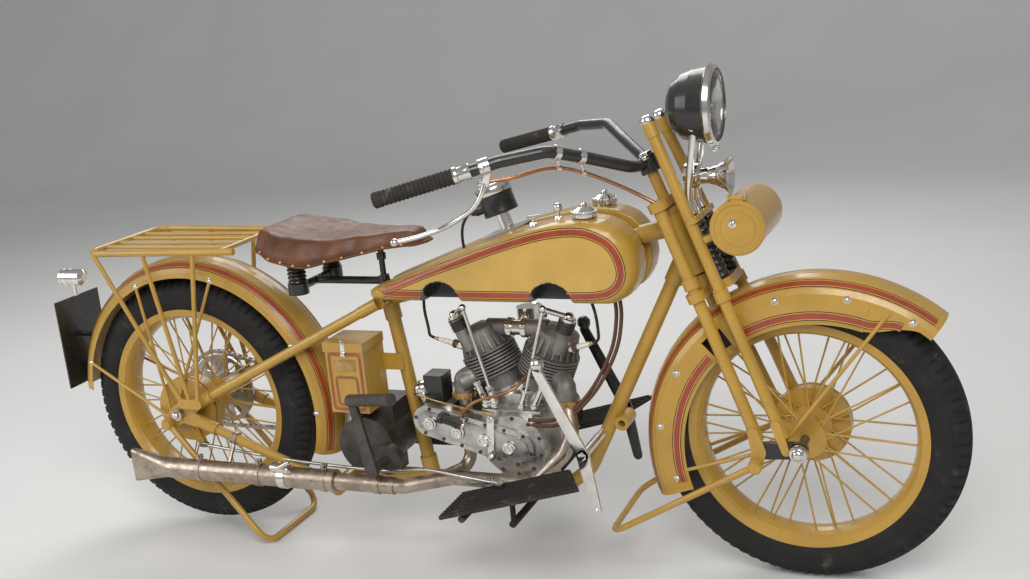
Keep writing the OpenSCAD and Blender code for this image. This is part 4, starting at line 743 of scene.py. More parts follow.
class MOTO_OT_tank(Operator):
    """Model the two tank halves, with their panels, stripes, hollows and shields"""

    bl_idname = "moto.tank"
    bl_label = "Fuel tank"

    def half(self, side):
        outline = [tank_point(p) for p in TANK_OUTLINE]
        middle = tank_point((0.56, 0.42))
        deselect()
        bpy.ops.mesh.primitive_circle_add(vertices=len(outline), radius=1, fill_type="NGON")
        piece = bpy.context.object
        for point, place in zip(piece.data.vertices, outline):
            point.co = (place[0], side * TANK_INNER, place[1])
        bpy.ops.object.mode_set(mode="EDIT")
        bpy.ops.mesh.select_all(action="SELECT")
        size, depth = 1, 0
        for share, scale in ((0.5, 1), (0.72, 0.99), (0.86, 0.96), (0.94, 0.915), (0.985, 0.85),
                             (1, 0.79)):
            step = (share - depth) * (TANK_OUTER - TANK_INNER)
            bpy.ops.mesh.extrude_region_move(TRANSFORM_OT_translate={"value": (0, side * step, 0)})
            k = scale / size
            out = TANK_INNER + share * (TANK_OUTER - TANK_INNER)
            centre = (middle[0], side * out, middle[1])
            bpy.ops.transform.resize(value=(k, 1, k), center_override=centre)
            size, depth = scale, share
        outward()
        piece.data.remesh_voxel_size = 5
        only(piece)
        bpy.ops.object.voxel_remesh()
        modifier(piece, "SMOOTH", factor=0.5, iterations=14)
        modifier(piece, "SUBSURF", levels=1, render_levels=1)
        return piece

    def hollows(self, piece):
        for x in HOLLOWS:
            dish = turned([(0, -30), (44, -30), (HOLLOW_R, -22), (HOLLOW_R, 80), (0, 80)], 48,
                          (x, -62, TANK_Z - 1), (0, -1, 0))
            modifier(piece, "BOOLEAN", operation="DIFFERENCE", object=dish, solver="EXACT")
            bpy.data.objects.remove(dish)

    def part_stripe(self, band):
        """Takes the stripe off where the hollows are."""
        only(band)
        for face in band.data.polygons:
            x, _, z = face.center
            face.select = from_hollow(x, z) < HOLLOW_R
        for edge in band.data.edges:
            edge.select = False
        for point in band.data.vertices:
            point.select = False
        bpy.ops.object.mode_set(mode="EDIT")
        bpy.ops.mesh.select_mode(type="FACE")
        bpy.ops.mesh.delete(type="FACE")
        bpy.ops.mesh.select_mode(type="VERT")
        bpy.ops.object.mode_set(mode="OBJECT")

    def stripe(self, piece, side, width, skin):
        middle = closed_line([tank_point(p) for p in STRIPE_LOOP], 160)
        count = len(middle)

        def shape(u, v):
            k = round(u * count)
            here, after, before = (middle[(k + step) % count] for step in (0, 1, -1))
            way = (after - before).normalized()
            place = here + Vector((way.y, -way.x)) * (v - 0.5) * width
            return Vector((place.x, side * 150, place.y))

        band = closed_patch(count, 5, shape)
        wrap = dict(target=piece, wrap_method="PROJECT", use_project_y=True,
                    use_negative_direction=side > 0, use_positive_direction=side < 0,
                    use_project_x=False, use_project_z=False, offset=skin)
        modifier(band, "SHRINKWRAP", **wrap)
        return band

    def execute(self, context):
        sizes = context.scene.moto_sizes
        loop = [Vector(p) for p in closed_line([tank_point(p) for p in STRIPE_LOOP], 120)]
        for side, node, name in ((-1, "tank_right", "right"), (1, "tank_left", "left")):
            piece = self.half(side)
            band = self.stripe(piece, side, sizes.stripe_width * TO_MM, sizes.skin * TO_MM)
            if side < 0:
                self.hollows(piece)
                self.part_stripe(band)
            piece.data.materials.clear()
            for finish in ("enamel", "panel", "black"):
                piece.data.materials.append(FINISHES[finish])
            for face in piece.data.polygons:
                x, y, z = face.center
                if side < 0 and from_hollow(x, z) < HOLLOW_R + 1:
                    face.material_index = 2 if y < -30 else 0
                elif side * y > 40 and inside((x, z), loop):
                    face.material_index = 1
            settle(piece, "tank_shell_" + name, "chassis", None)
            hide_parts(node)
            settle(band, "tank_stripe_" + name, "chassis", "stripe")
        shields = []
        for x in HOLLOWS:
            turns = [math.radians(6 + 7 * k) for k in range(25)]
            r = HOLLOW_R + 0.4
            rim = [(x + r * math.cos(t), TANK_Z + r * math.sin(t)) for t in turns]
            shields.append(plate(rim, -78, -80, 0.5))
        settle(joined(shields), "tank_shields", "chassis", "black")
        return {"FINISHED"}


# Saddle

SADDLE_BACK = -495
SADDLE_LEN = 425
POST_TOP = 695.7         # top of the CAD seat post and springs
POST_X = -202.4
SPRING_AT = (-385, 78)
COIL_H = 53


class MOTO_OT_saddle(Operator):
    """Model the leather saddle, with its binding, pan, studs and supports"""

    bl_idname = "moto.saddle"
    bl_label = "Saddle"

    half_width = ((0, 46), (0.025, 84), (0.08, 116), (0.2, 140), (0.34, 143), (0.5, 118),
                  (0.66, 78), (0.82, 50), (0.92, 40), (0.97, 30), (1, 12))
    crown = ((0, 779), (0.08, 781), (0.28, 770), (0.5, 757), (0.7, 758), (0.9, 762), (1, 758))
    skirt = ((0, 40), (0.2, 52), (0.36, 58), (0.55, 40), (0.8, 28), (1, 26))

    def shape(self, u, v):
        """Top leather: u from the cantle to the nose, v from the right to the left edge."""
        across = 2 * v - 1
        bend = abs(across)
        wide = through(self.half_width, u)
        x = SADDLE_BACK + 4 + u * (SADDLE_LEN - 8)
        roll = smooth_step((bend - 0.62) / 0.38)
        out = wide * (min(bend, 0.86) / 0.86) ** 0.92
        dish = 13 * math.exp(-((u - 0.3) / 0.2) ** 2) * math.exp(-(across / 0.55) ** 2)
        end = max(smooth_step((0.06 - u) / 0.06), smooth_step((u - 0.93) / 0.07))
        edge = 1 - (1 - roll) * (1 - end)
        z = through(self.crown, u) - dish - edge * through(self.skirt, u)
        z -= 6 * bend * bend * (1 - end)
        return Vector((x, math.copysign(out, across), z))

    def under(self, u, v):
        """Pan under the leather, inside its edges."""
        return self.shape(0.06 + 0.86 * u, 0.16 + 0.68 * v) - Vector((0, 0, 17))

    def execute(self, context):
        top = patch(72, 56, self.shape)
        modifier(top, "SMOOTH", factor=0.5, iterations=3)
        modifier(top, "SOLIDIFY", thickness=7, offset=-1)
        modifier(top, "SUBSURF", levels=1, render_levels=1)
        settle(top, "saddle_leather", "chassis", "leather", angle=60)
        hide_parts("saddle")
        rim = [self.shape(k / 40, 0) for k in range(40)]
        rim += [self.shape(1, k / 12) for k in range(12)]
        rim += [self.shape(1 - k / 40, 1) for k in range(40)]
        rim += [self.shape(0, 1 - k / 16) for k in range(16)]
        binding = tube(rim, 3.2, 10, smooth=True, closed=True)
        settle(binding, "saddle_binding", "chassis", "leather", angle=60)
        pan = patch(40, 28, self.under)
        modifier(pan, "SOLIDIFY", thickness=4, offset=-1)
        settle(pan, "saddle_pan", "chassis", "black", angle=60)
        stud = turned([(0, 2.2), (2.2, 1.8), (3.6, 0.6), (4, -1), (0, -1)], 12)
        places = []
        for u in (0.10, 0.18, 0.26, 0.34, 0.42, 0.50, 0.58, 0.68, 0.78, 0.88):
            for v in (0.025, 0.975):
                here = self.shape(u, v)
                places.append(facing(here + Vector((0, math.copysign(1, v - 0.5), 0)),
                                     (0, v - 0.5, 0.1)))
        studs = copies(stud, places)
        settle(studs, "saddle_studs", "chassis", "brass")
        supports = [turned([(0, 46), (7, 46), (7, 6), (11, 6), (11, -8), (0, -8)], 20,
                           (POST_X, 0, POST_TOP)),
                    block((34, 46, 5), (POST_X, 0, POST_TOP + 42), 1.5)]
        coil = [(17 + 5 * math.sin(math.pi * (k % 6) / 6), COIL_H - COIL_H * k / 30)
                for k in range(31)]
        for side in SIDES:
            supports.append(turned([(0, COIL_H)] + coil + [(0, 0)], 28,
                                   (SPRING_AT[0], side * SPRING_AT[1], POST_TOP - 0.5)))
        settle(joined(supports), "saddle_supports", "chassis", "black")
        return {"FINISHED"}


# Tyres


class MOTO_OT_tyres(Operator):
    """Model the tyres with their tread blocks and side ribs"""

    bl_idname = "moto.tyres"
    bl_label = "Tyres"

    def execute(self, context):
        sizes = context.scene.moto_sizes
        blocks, depth = sizes.tread_blocks, sizes.tread_depth * TO_MM
        section = 49
        centre = AXLE_Z - section
        open_angle = 0.76    # from the section's inner side to the edge of the bead

        def shape(u, v):
            turn = u * 2 * math.pi
            a = (v - 0.5) * 2 * (math.pi - open_angle)
            across = abs(a)
            phase = (u * blocks + (0.5 if a > 0 else 0)) % 1
            r = section
            if across < 0.30:    # centre rib, with a fine groove
                r -= depth * (1 if 0.10 < across < 0.16 else 0)
            elif across < 0.40:    # groove beside it
                r -= depth
            elif across < 0.98:    # shoulder blocks
                r -= depth * (1 if phase < 0.24 else 0)
            elif across < 1.04:    # step under the shoulder
                r -= depth * 0.8
            elif 1.30 < across < 1.38:    # raised line on the side wall
                r -= 0.2
            else:
                r -= depth * 0.45
            reach = centre + r * math.cos(a)
            return Vector((reach * math.cos(turn), r * math.sin(a), reach * math.sin(turn)))

        for node, x, body in (("front_tyre", HALF_BASE, "front_wheel_body"),
                              ("rear_tyre", -HALF_BASE, "rear_wheel_body")):
            piece = closed_patch(blocks * 6, 54, shape)
            piece.location = (x, 0, AXLE_Z)
            settle(piece, node + "_tread", body, "tyre", angle=38)
            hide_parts(node)
        return {"FINISHED"}


# Fender stripes and fixings


def arch_point(centre, turn, share, lift):
    """Point on a fender: turn in degrees, share from the right to the left edge."""
    a = math.pi * share
    r = FENDER_R - FENDER_DROP + (FENDER_DROP + lift) * math.sin(a)
    y = -(FENDER_HALF + lift) * math.cos(a)
    t = math.radians(turn)
    return Vector((centre[0] + r * math.cos(t), y, centre[1] + r * math.sin(t)))


class MOTO_OT_fender_trim(Operator):
    """Model the stripes, valance ends and bolts of the fenders"""

    bl_idname = "moto.fender_trim"
    bl_label = "Fender trim"

    def execute(self, context):
        sizes = context.scene.moto_sizes
        width = sizes.stripe_width * TO_MM / (math.pi * 55)
        skin = sizes.skin * TO_MM
        bands = (
            ("front", FRONT_FENDER, 52, 197, "fork_body"),
            ("rear", REAR_FENDER, -16, 173, "chassis"),
        )
        share = 0.24    # stripe's place across the fender, from either edge
        for name, centre, start, end, body in bands:
            strips = []
            for middle in (share, 1 - share):
                strips.append(patch(120, 5, lambda u, v, m=middle: arch_point(
                    centre, start + (end - start) * u, m + (v - 0.5) * width, skin)))
            for strip in strips:
                only(strip)
                bpy.ops.object.mode_set(mode="EDIT")
                bpy.ops.mesh.select_all(action="SELECT")
                bpy.ops.mesh.normals_make_consistent(inside=False)
                bpy.ops.object.mode_set(mode="OBJECT")
            settle(joined(strips), "fender_stripe_" + name, body, "stripe")
        self.skirts(sizes.stripe_width * TO_MM, skin)
        self.fixings()
        return {"FINISHED"}

    def skirts(self, width, skin):
        """Valance stripes, and the tapered front ends of the valances."""
        x, z = FRONT_FENDER
        face = FENDER_HALF + skin

        def at(r, turn, y):
            t = math.radians(turn)
            return Vector((x + r * math.cos(t), y, z + r * math.sin(t)))

        def band(start, end, side):
            def shape(u, v):
                turn = start + (end - start) * u
                r = 299 + 22 * smooth_step((72 - turn) / 12) + (v - 0.5) * width
                return at(r, turn, side * face)

            return patch(60, 5, shape)

        strips, noses = [], []
        for side in SIDES:
            strips += [band(60, 124, side), band(137, 195, side)]
            nose = patch(24, 8, lambda u, v: at(
                334 - (334 - 283) * smooth_step(u) * v, 52 + 20.5 * u, side * (FENDER_HALF - 1)))
            modifier(nose, "SOLIDIFY", thickness=2, offset=0)
            noses.append(nose)
        settle(joined(strips), "valance_stripe", "fork_body", "stripe")
        settle(joined(noses), "valance_nose", "fork_body", "enamel")

    def fixings(self):
        """Round-headed bolts along both fenders."""
        rows = (
            ("front", FRONT_FENDER, "fork_body",
             ((58, 340), (80, 338), (104, 338), (150, 336), (172, 336), (193, 310))),
            ("rear", REAR_FENDER, "chassis",
             ((0, 336), (30, 336), (75, 337), (114, 337), (162, 337))),
        )
        for name, (x, z), body, spots in rows:
            head = turned([(0, 3.6), (2.6, 3.2), (4.6, 2), (5.6, 0.4), (7.5, 0), (7.5, -2),
                           (0, -2)], 14)
            places = []
            for turn, r in spots:
                t = math.radians(turn)
                for side in SIDES:
                    places.append(facing((x + r * math.cos(t), side * FENDER_HALF,
                                          z + r * math.sin(t)), (0, side, 0)))
            settle(copies(head, places), "fender_bolts_" + name, body, "nickel")


# Engine trim

COVER_FACE = -106.3
OVAL_REAR = (-74, 337)
OVAL_FRONT = (136, 283)
DISC = (130, 287)
RIGHT = (0, -1, 0)
# Exhaust ports: cylinder's side, (x, y) of the port and of the bend above it
PORTS = ((1, (250.5, -66), (246, -58)), (-1, (-6.5, -42), (-2, -46)))


def lean(side):
    """Axis of a cylinder of the vee: front on side 1, rear on side -1."""
    return Vector((side * 0.3827, 0, 0.9239))


def head_point(side, up, out, right):
    """Point at a height along a cylinder of the vee, out from the vee and to the right."""
    c, s = math.cos(HALF_VEE), math.sin(HALF_VEE)
    return Vector((CRANK[0] + side * (up * s + out * c), -right, CRANK[1] + up * c - out * s))


class MOTO_OT_timing_trim(Operator):
    """Model the timing cover's raised plate, screws, caps, oil pump, pipe, rod and timer"""

    bl_idname = "moto.timing_trim"
    bl_label = "Timing cover trim"

    def execute(self, context):
        raised = plate(belt_line(OVAL_REAR, 24, OVAL_FRONT, 30, 72), COVER_FACE + 1, COVER_FACE - 4,
                       1.8)
        settle(raised, "cover_plate", "chassis", "alloy")
        places = [facing((x, COVER_FACE, z), RIGHT) for x,
                  z in belt_line(OVAL_REAR, 30, OVAL_FRONT, 36, 14)]
        for turn in (-120, -85, -50, -15, 20, 55, 90):
            t = math.radians(turn)
            places.append(facing((DISC[0] + 65 * math.cos(t), -100.3, DISC[1] + 65 * math.sin(t)),
                                 RIGHT))
        settle(copies(screw(4.4, 2.6), places), "cover_screws", "chassis", "dark_case")

        cap = turned([(0, 8), (4, 8), (5, 6.5), (8, 6.5), (9, 8.5), (11, 8.5), (12, 5), (15, 4.6),
                      (16.6, 2), (16.6, -3), (0, -3)], 32)
        spots = [Vector(OVAL_REAR).lerp(Vector(OVAL_FRONT), share)
                 for share in (0.04, 0.36, 0.66, 0.94)]
        caps = copies(cap, [facing((spot.x, -112.3, spot.y), RIGHT) for spot in spots])
        settle(caps, "cam_caps", "chassis", "nickel")

        way = Vector((0.968, 0, -0.249))
        start = Vector((-44, -112, 350))
        pump = turned([(0, 0), (10, 0), (12.5, 3), (12.5, 12), (10.5, 14), (10.5, 40), (12.5, 42),
                       (12.5, 58), (0, 58)], 24, start, way)
        settle(pump, "oil_pump", "chassis", "black")
        end = hexagon(10, 9, start + way * 57, way)
        union = hexagon(8, 8, (15, -106, 343), (0.1, -0.2, 1))
        strap = plate(belt_line((84, 352), 9, (78, 262), 8, 40), -111, -115, 1.2)
        bolts = copies(hexagon(6.5, 5, (0, 0, 0), (0, 0, 1)),
                       [facing((x, -114.5, z), RIGHT) for x, z in ((84, 352), (78, 262))])
        settle(joined([end, union, strap, bolts]), "pump_fittings", "chassis", "nickel")
        pipe = tube(flowing([(15, -106, 343), (19, -111, 366), (54, -112, 393), (108, -104, 408),
                             (140, -88, 420), (158, -52, 440)]), 3.6, 10, smooth=False)
        settle(pipe, "oil_pipe", "chassis", "copper", angle=60)
        rod = tube([(-118, -64, 384), (-60, -88, 379), (40, -92, 362), (78, -86, 354)], 2.6, 8)
        settle(rod, "timer_rod", "chassis", "brass", angle=60)

        timer = turned([(0, 46), (10, 46), (16, 43), (19, 38), (20, 30), (23, 29), (23, 23),
                        (19, 22), (17, 0), (0, 0)], 28, (-104, -44, 366), (-0.18, -0.22, 0.95))
        settle(timer, "spark_timer", "chassis", "nickel")
        return {"FINISHED"}


class MOTO_OT_cylinder_trim(Operator):
    """Model the spark plugs, leads, port rings and elbows, nuts, valve springs and engine cables"""

    bl_idname = "moto.cylinder_trim"
    bl_label = "Cylinder trim"

    def plug(self, side):
        foot = head_point(side, 236, 42, 26)
        way = Vector((side * 0.93, -0.20, 0.31)).normalized()
        base = hexagon(11, 14, foot - way * 2, way)
        collar = turned([(0, 11), (9, 11), (10, 14), (10, 20), (7, 23), (0, 23)], 20, foot, way)
        core = turned([(0, 22), (6.4, 22), (7, 27), (6, 33), (6.4, 38), (5, 44), (5.4, 49), (4, 57),
                       (0, 57)], 20, foot, way)
        tip = turned([(0, 56), (4.4, 56), (4.4, 60), (3, 62), (4, 66), (0, 67)], 14, foot, way)
        return base, collar, core, tip, foot + way * 64

    def execute(self, context):
        metal, collars, cores, tips, ends = zip(*(self.plug(side) for side in (1, -1)))
        settle(joined(list(metal)), "plug_bodies", "chassis", "nickel")
        settle(joined(list(collars)), "plug_collars", "chassis", "cable")
        settle(joined(list(cores)), "plug_cores", "chassis", "ceramic")
        for side, name, tip, end, top in ((1, "front", tips[0], ends[0], (306, -34, 622)),
                                          (-1, "rear", tips[1], ends[1], (-86, -34, 622))):
            settle(tip, "plug_terminal_" + name, "chassis", "brass")
            bow = end + Vector((side * 14, -2, 26))
            half = bow.lerp(Vector(top), 0.5) + Vector((side * 4, 0, 0))
            path = [top, half, bow, end + Vector((side * 12, -2, 8)), end]
            lead("plug_lead_" + name, path, 3.4, "chassis", "rubber")

        bands = []
        for _, (x, y), _ in PORTS:
            bands.append(ring(24.4, 26.6, 15, (x, y, 376.7), (0, 0, 1)))
            for k in range(12):
                t = math.radians(30 * k)
                bands.append(block((5, 5, 11), (x + 26 * math.cos(t), y + 26 * math.sin(t), 384.2),
                                   1, (0, 0, t)))
        settle(joined(bands), "port_rings", "chassis", "brass")

        elbows = [tube([head_point(side, 168, 30, 22), (*bend, 424), (*port, 412), (*port, 386)],
                       22, 20) for side, port, bend in PORTS]
        settle(joined(elbows), "port_elbows", "chassis", "iron", angle=60)

        nuts = []
        for foot, top in (((82, 365), (71, 417)), ((63, 365), (42, 425)),
                          ((143, 365), (159.5, 411.6)), ((173, 365), (199.7, 422))):
            a, b = Vector((foot[0], -74, foot[1])), Vector((top[0], -74, top[1]))
            way = (b - a).normalized()
            nuts.append(hexagon(11.5, 9, a + way * 5, way))
            nuts.append(hexagon(10.5, 8, b - way * 7, way))
        for x in (98, 134):
            nuts.append(hexagon(24.5, 12, (x, 0, 531), (1, 0, 0)))
        for side in SIDES:
            top = head_point(side, 302, 20, 36)
            nuts.append(turned([(0, 17), (7, 16), (11, 12), (12, 6), (17.4, 5), (17.4, -6),
                                (0, -6)], 24, top, lean(side)))
        settle(joined(nuts), "valve_nuts", "chassis", "nickel")

        coil = []
        for side in SIDES:
            for k in range(6):
                coil.append(ring(16, 20, 3.6, head_point(side, 272 + k * 5, 20, 36), lean(side),
                                 24))
        settle(joined(coil), "valve_springs", "chassis", "black")

        for name, shift in (("a", 0), ("b", 11)):
            path = [(366 + shift, -40, 622), (368 + shift, -42, 572), (354 + shift, -48, 502),
                    (314 + shift, -64, 424), (268 + shift, -84, 372),
                    (222 + shift, -97, 352 - shift), (168, -97, 350 - shift)]
            lead("engine_cable_" + name, path, 4.2, "chassis", "cable")
        return {"FINISHED"}


# Handlebar controls

BAR_CENTRE = (445.7, 892.3)
BAR_SWEEP = 463
BAR_HALF = 335
BAR_RISE = 60
BAR_SHARES = ((0, 0, 0), (0.04, 0.14, 0), (0.185, 0.36, 0.55), (0.31, 0.57, 1), (0.49, 0.73, 0.85),
              (0.61, 0.81, 0.62), (0.66, 0.834, 0.53))
GRIP_LEN = 170.9
STEM_WAY = (-0.38, 0, 0.93)    # up the steering axis


def bar_point(shares, side):
    """Point of the bar given in shares of its sweep, half width and rise."""
    return Vector((BAR_CENTRE[0] - BAR_SWEEP * shares[0], side * BAR_HALF * shares[1],
                   BAR_CENTRE[1] + BAR_RISE * shares[2]))


class MOTO_OT_controls(Operator):
    """Model the grips, ferrules, brake lever, cable, clips and clamp nuts of the handlebar"""

    bl_idname = "moto.controls"
    bl_label = "Handlebar controls"

    def execute(self, context):
        grips, sleeves = [], []
        for side in SIDES:
            start = bar_point(BAR_SHARES[-1], side)
            way = (Vector((-17.3, side * BAR_HALF, 887.5)) - start).normalized()
            rows = [(0, 0), (14.5, 0), (16.4, 2), (16.4, 8)]
            for k in range(17):
                h = 12 + k * 8.6
                rows += [(14.6, h), (14.6, h + 1.6), (16.2, h + 3), (16.2, h + 6.4)]
            rows += [(16.4, 160), (16.4, GRIP_LEN - 3), (13, GRIP_LEN), (0, GRIP_LEN)]
            grips.append(turned(rows, 28, start, way))
            back = (bar_point(BAR_SHARES[-2], side) - start).normalized()
            sleeves.append(turned([(12.3, -4), (17.4, -4), (18, 0), (17.4, 4), (15, 6), (15, 23),
                                   (16.6, 25), (16.6, 31), (12.3, 32), (12.3, -4)], 28, start,
                                  back))
        grip = settle(joined(grips), "grip_rubbers", "fork_body", "rubber")
        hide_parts("grips")
        settle(joined(sleeves), "grip_ferrules", "fork_body", "nickel")

        a, b = bar_point(BAR_SHARES[4], -1), bar_point(BAR_SHARES[5], -1)
        way = (b - a).normalized()
        perch = [ring(12.3, 17, 22, a.lerp(b, 0.30), way),
                 block((18, 14, 34), (195, -257, 917), 4, (0.1, 0.25, 0.4)),
                 hexagon(6.5, 20, (190, -247, 905), (-0.4, -0.9, 0)),
                 hexagon(6, 5, (196, -272, 938), (-0.4, -0.9, 0.2))]
        blade = tube(flowing([(192, -259, 908), (182, -264, 880), (160, -263, 853),
                              (124, -257, 832), (88, -262, 815), (44, -284, 803), (4, -302, 797)]),
                     5.2, 12, smooth=False)
        ball = turned([(0, 9), (4.5, 8), (7.6, 5), (8.6, 0), (7.6, -5), (4.5, -8), (0, -9)], 20,
                      (2, -303, 796.6), (-0.9, -0.4, -0.1))
        settle(joined(perch + [blade, ball]), "brake_lever", "fork_body", "nickel")
        lead("brake_cable", [(474, -48, 815), (438, -56, 838), (392, -82, 868), (349, -117, 895),
                             (314, -152, 912), (286, -186, 917), (250, -222, 911), (224, -240, 908),
                             (199, -252, 907)], 4, "fork_body", "copper")
        clips = []
        start, end = bar_point(BAR_SHARES[2], -1), bar_point(BAR_SHARES[3], -1)
        way = (end - start).normalized()
        for share, low in ((0.2, (346, -120, 896.5)), (0.8, (309, -159, 913.5))):
            at = start.lerp(end, share)
            clips.append(ring(12.3, 15.6, 13, at - way * 6.5, way, 24))
            clips.append(tube([at, at.lerp(Vector(low), 0.5), low], 3.4, 8, smooth=False))
            clips.append(ring(3.6, 6.6, 10, Vector(low) - way * 5, way, 16))
        settle(joined(clips), "cable_clips", "fork_body", "nickel")
        stem = [hexagon(15, 12, (BAR_CENTRE[0] - 2, 0, BAR_CENTRE[1] + 12), STEM_WAY)]
        for side in SIDES:
            stem.append(hexagon(8, 7, (BAR_CENTRE[0] + 3, side * 26, BAR_CENTRE[1] + 11), STEM_WAY))
        settle(joined(stem), "bar_clamp_nuts", "fork_body", "nickel")
        return {"FINISHED"}


# Tank-top gauge and fittings


class MOTO_OT_gauge(Operator):
    """Model the speedometer's case, dial and cable, and the knobs on the tank"""

    bl_idname = "moto.gauge"
    bl_label = "Speedometer and tank fittings"

    def execute(self, context):
        foot = Vector((108.8, 0, 792.7))
        axis = Vector((-0.305, 0, 0.952))
        back = Vector((-0.952, 0, -0.305))
        case = turned([(37.5, 1), (38.6, 0), (39.2, 2), (39.2, 6), (38.6, 8), (38.6, 38),
                       (39.2, 40), (39.2, 44), (37.5, 45), (37.5, 1)], 48, foot, axis)
        union = turned([(0, 30), (8, 30), (9, 27), (9, 20), (12, 19), (12, 4), (13, -4), (0, -4)],
                       24, foot + axis * 22 + back * 38, back)
        settle(joined([case, union]), "gauge_case", "chassis", "black")
        bezel = turned([(37.5, 44), (40, 45), (41.2, 49), (41.2, 57), (39.6, 62), (36, 65),
                        (33.5, 64), (33.5, 61), (37.5, 44)], 48, foot, axis)
        settle(bezel, "gauge_bezel", "chassis", "nickel")
        face = turned([(0, 63), (33, 63), (34.2, 62.4), (34.2, 61.5), (0, 61.5)], 40, foot, axis)
        settle(face, "gauge_dial", "chassis", "dial")
        turn = facing(foot + axis * 63.2, axis)
        mark = block((1.4, 6, 0.5), (0, 27, 0), 0.15)
        marks = copies(mark, [turn @ Matrix.Rotation(math.radians(30 * k), 4, "Z")
                              for k in range(-4, 6)])
        hand = plate([(-1.6, -6), (1.6, -6), (0.6, 22), (-0.6, 22)], -0.3, 0.3, 0.1)
        swing = Matrix.Rotation(math.radians(60), 4, "Z")
        flat = Matrix.Rotation(math.radians(-90), 4, "X")
        hand = copies(hand, [turn @ swing @ flat])
        settle(joined([marks, hand]), "gauge_marks", "chassis", "black")
        end = foot + axis * 22 + back * 66
        lead("gauge_cable", [end, end + back * 14 + Vector((0, 0, -3)),
                             end + Vector((-27, -1, -30)), end + Vector((-31, -1, -60)),
                             end + Vector((-28, 0, -92))], 3.4, "chassis", "rubber")

        top = []
        for x, y, z in ((206, -62, 774), (262, -58, 786)):
            top.append(turned([(0, 20), (4, 20), (4, 10), (9, 9), (11, 5), (11, -10), (0, -10)], 20,
                              (x, y, z), (0, 0, 1)))
        for angle in (0.6, 2.17):
            reach = Vector((math.cos(angle), math.sin(angle), 0)) * 13
            middle = Vector((206, -62, 796))
            top.append(tube([middle - reach, middle, middle + reach], 3, 10))
        top.append(turned([(0, 38), (5, 37), (8.6, 33), (9.6, 28), (8, 22.5), (4, 20), (4, 18),
                           (0, 18)], 24, (262, -58, 786), (0, 0, 1)))
        for side in SIDES:
            rows = [(0, 30), (6, 30), (7, 28), (7, 20), (0, 20)]
            top.append(turned(rows, 20, (323, side * 69, 796), (0, 0, 1)))
            notch = block((4, 6, 12), (0, 24.2, 0), 1.2)
            cap = facing((323, side * 69, 803.5), (0, 0, 1))
            top.append(copies(notch, [cap @ Matrix.Rotation(math.radians(18 * k), 4, "Z")
                                      for k in range(20)]))
        settle(joined(top), "tank_knobs", "chassis", "nickel")
        return {"FINISHED"}


# Lamps and boxes


class MOTO_OT_lamp_trim(Operator):
    """Model the headlamp's reflector, bulb and posts, and the tail lamp's lens and rings"""

    bl_idname = "moto.lamp_trim"
    bl_label = "Lamp trim"

    def execute(self, context):
        lamp = Vector((577.5, 0, 1005))
        dish = turned([(0, 1), (14, 1.4), (30, 3), (50, 6.5), (69, 12), (70, 11), (70, 0.8),
                       (0, 0.6)], 48, lamp, (1, 0, 0))
        posts = [tube(rounded([on_fork(54, side * 37, 516), on_fork(54, side * 37, 547),
                               lamp + Vector((-21, side * 46, -38))], 18), 7.8, 14, smooth=False)
                 for side in SIDES]
        clamp = [block((16, 12, 10), lamp + Vector((9, 0, -86)), 2),
                 hexagon(5, 18, lamp + Vector((9, 9, -88)), (0, -1, 0))]
        for side in SIDES:
            clamp.append(hexagon(10, 8, lamp + Vector((-22, side * 53, -34)), (0, side, 0)))
        settle(joined([dish] + posts + clamp), "lamp_plating", "fork_body", "nickel")
        bulb = turned([(0, 14), (3.5, 13), (6, 9.5), (6.4, 6), (4, 2), (4, 0), (0, 0)], 20,
                      lamp + Vector((1.5, 0, 0)), (1, 0, 0))
        settle(bulb, "lamp_bulb", "fork_body", "ceramic")
        tail = Vector((-1149.5, 0, 635))
        red = turned([(0, 0.1), (10, 0.08), (16, 0.02), (17, -0.5), (0, -0.5)], 32, tail,
                     (-1, 0, 0))
        settle(red, "tail_lens", "chassis", "red_glass")
        bands = [ring(20.6, 22.2, 6, tail + Vector((0.2, 0, 0)), (1, 0, 0), 36),
                 ring(20.6, 22, 4, tail + Vector((22, 0, 0)), (1, 0, 0), 36)]
        settle(joined(bands), "tail_rings", "chassis", "nickel")
        return {"FINISHED"}


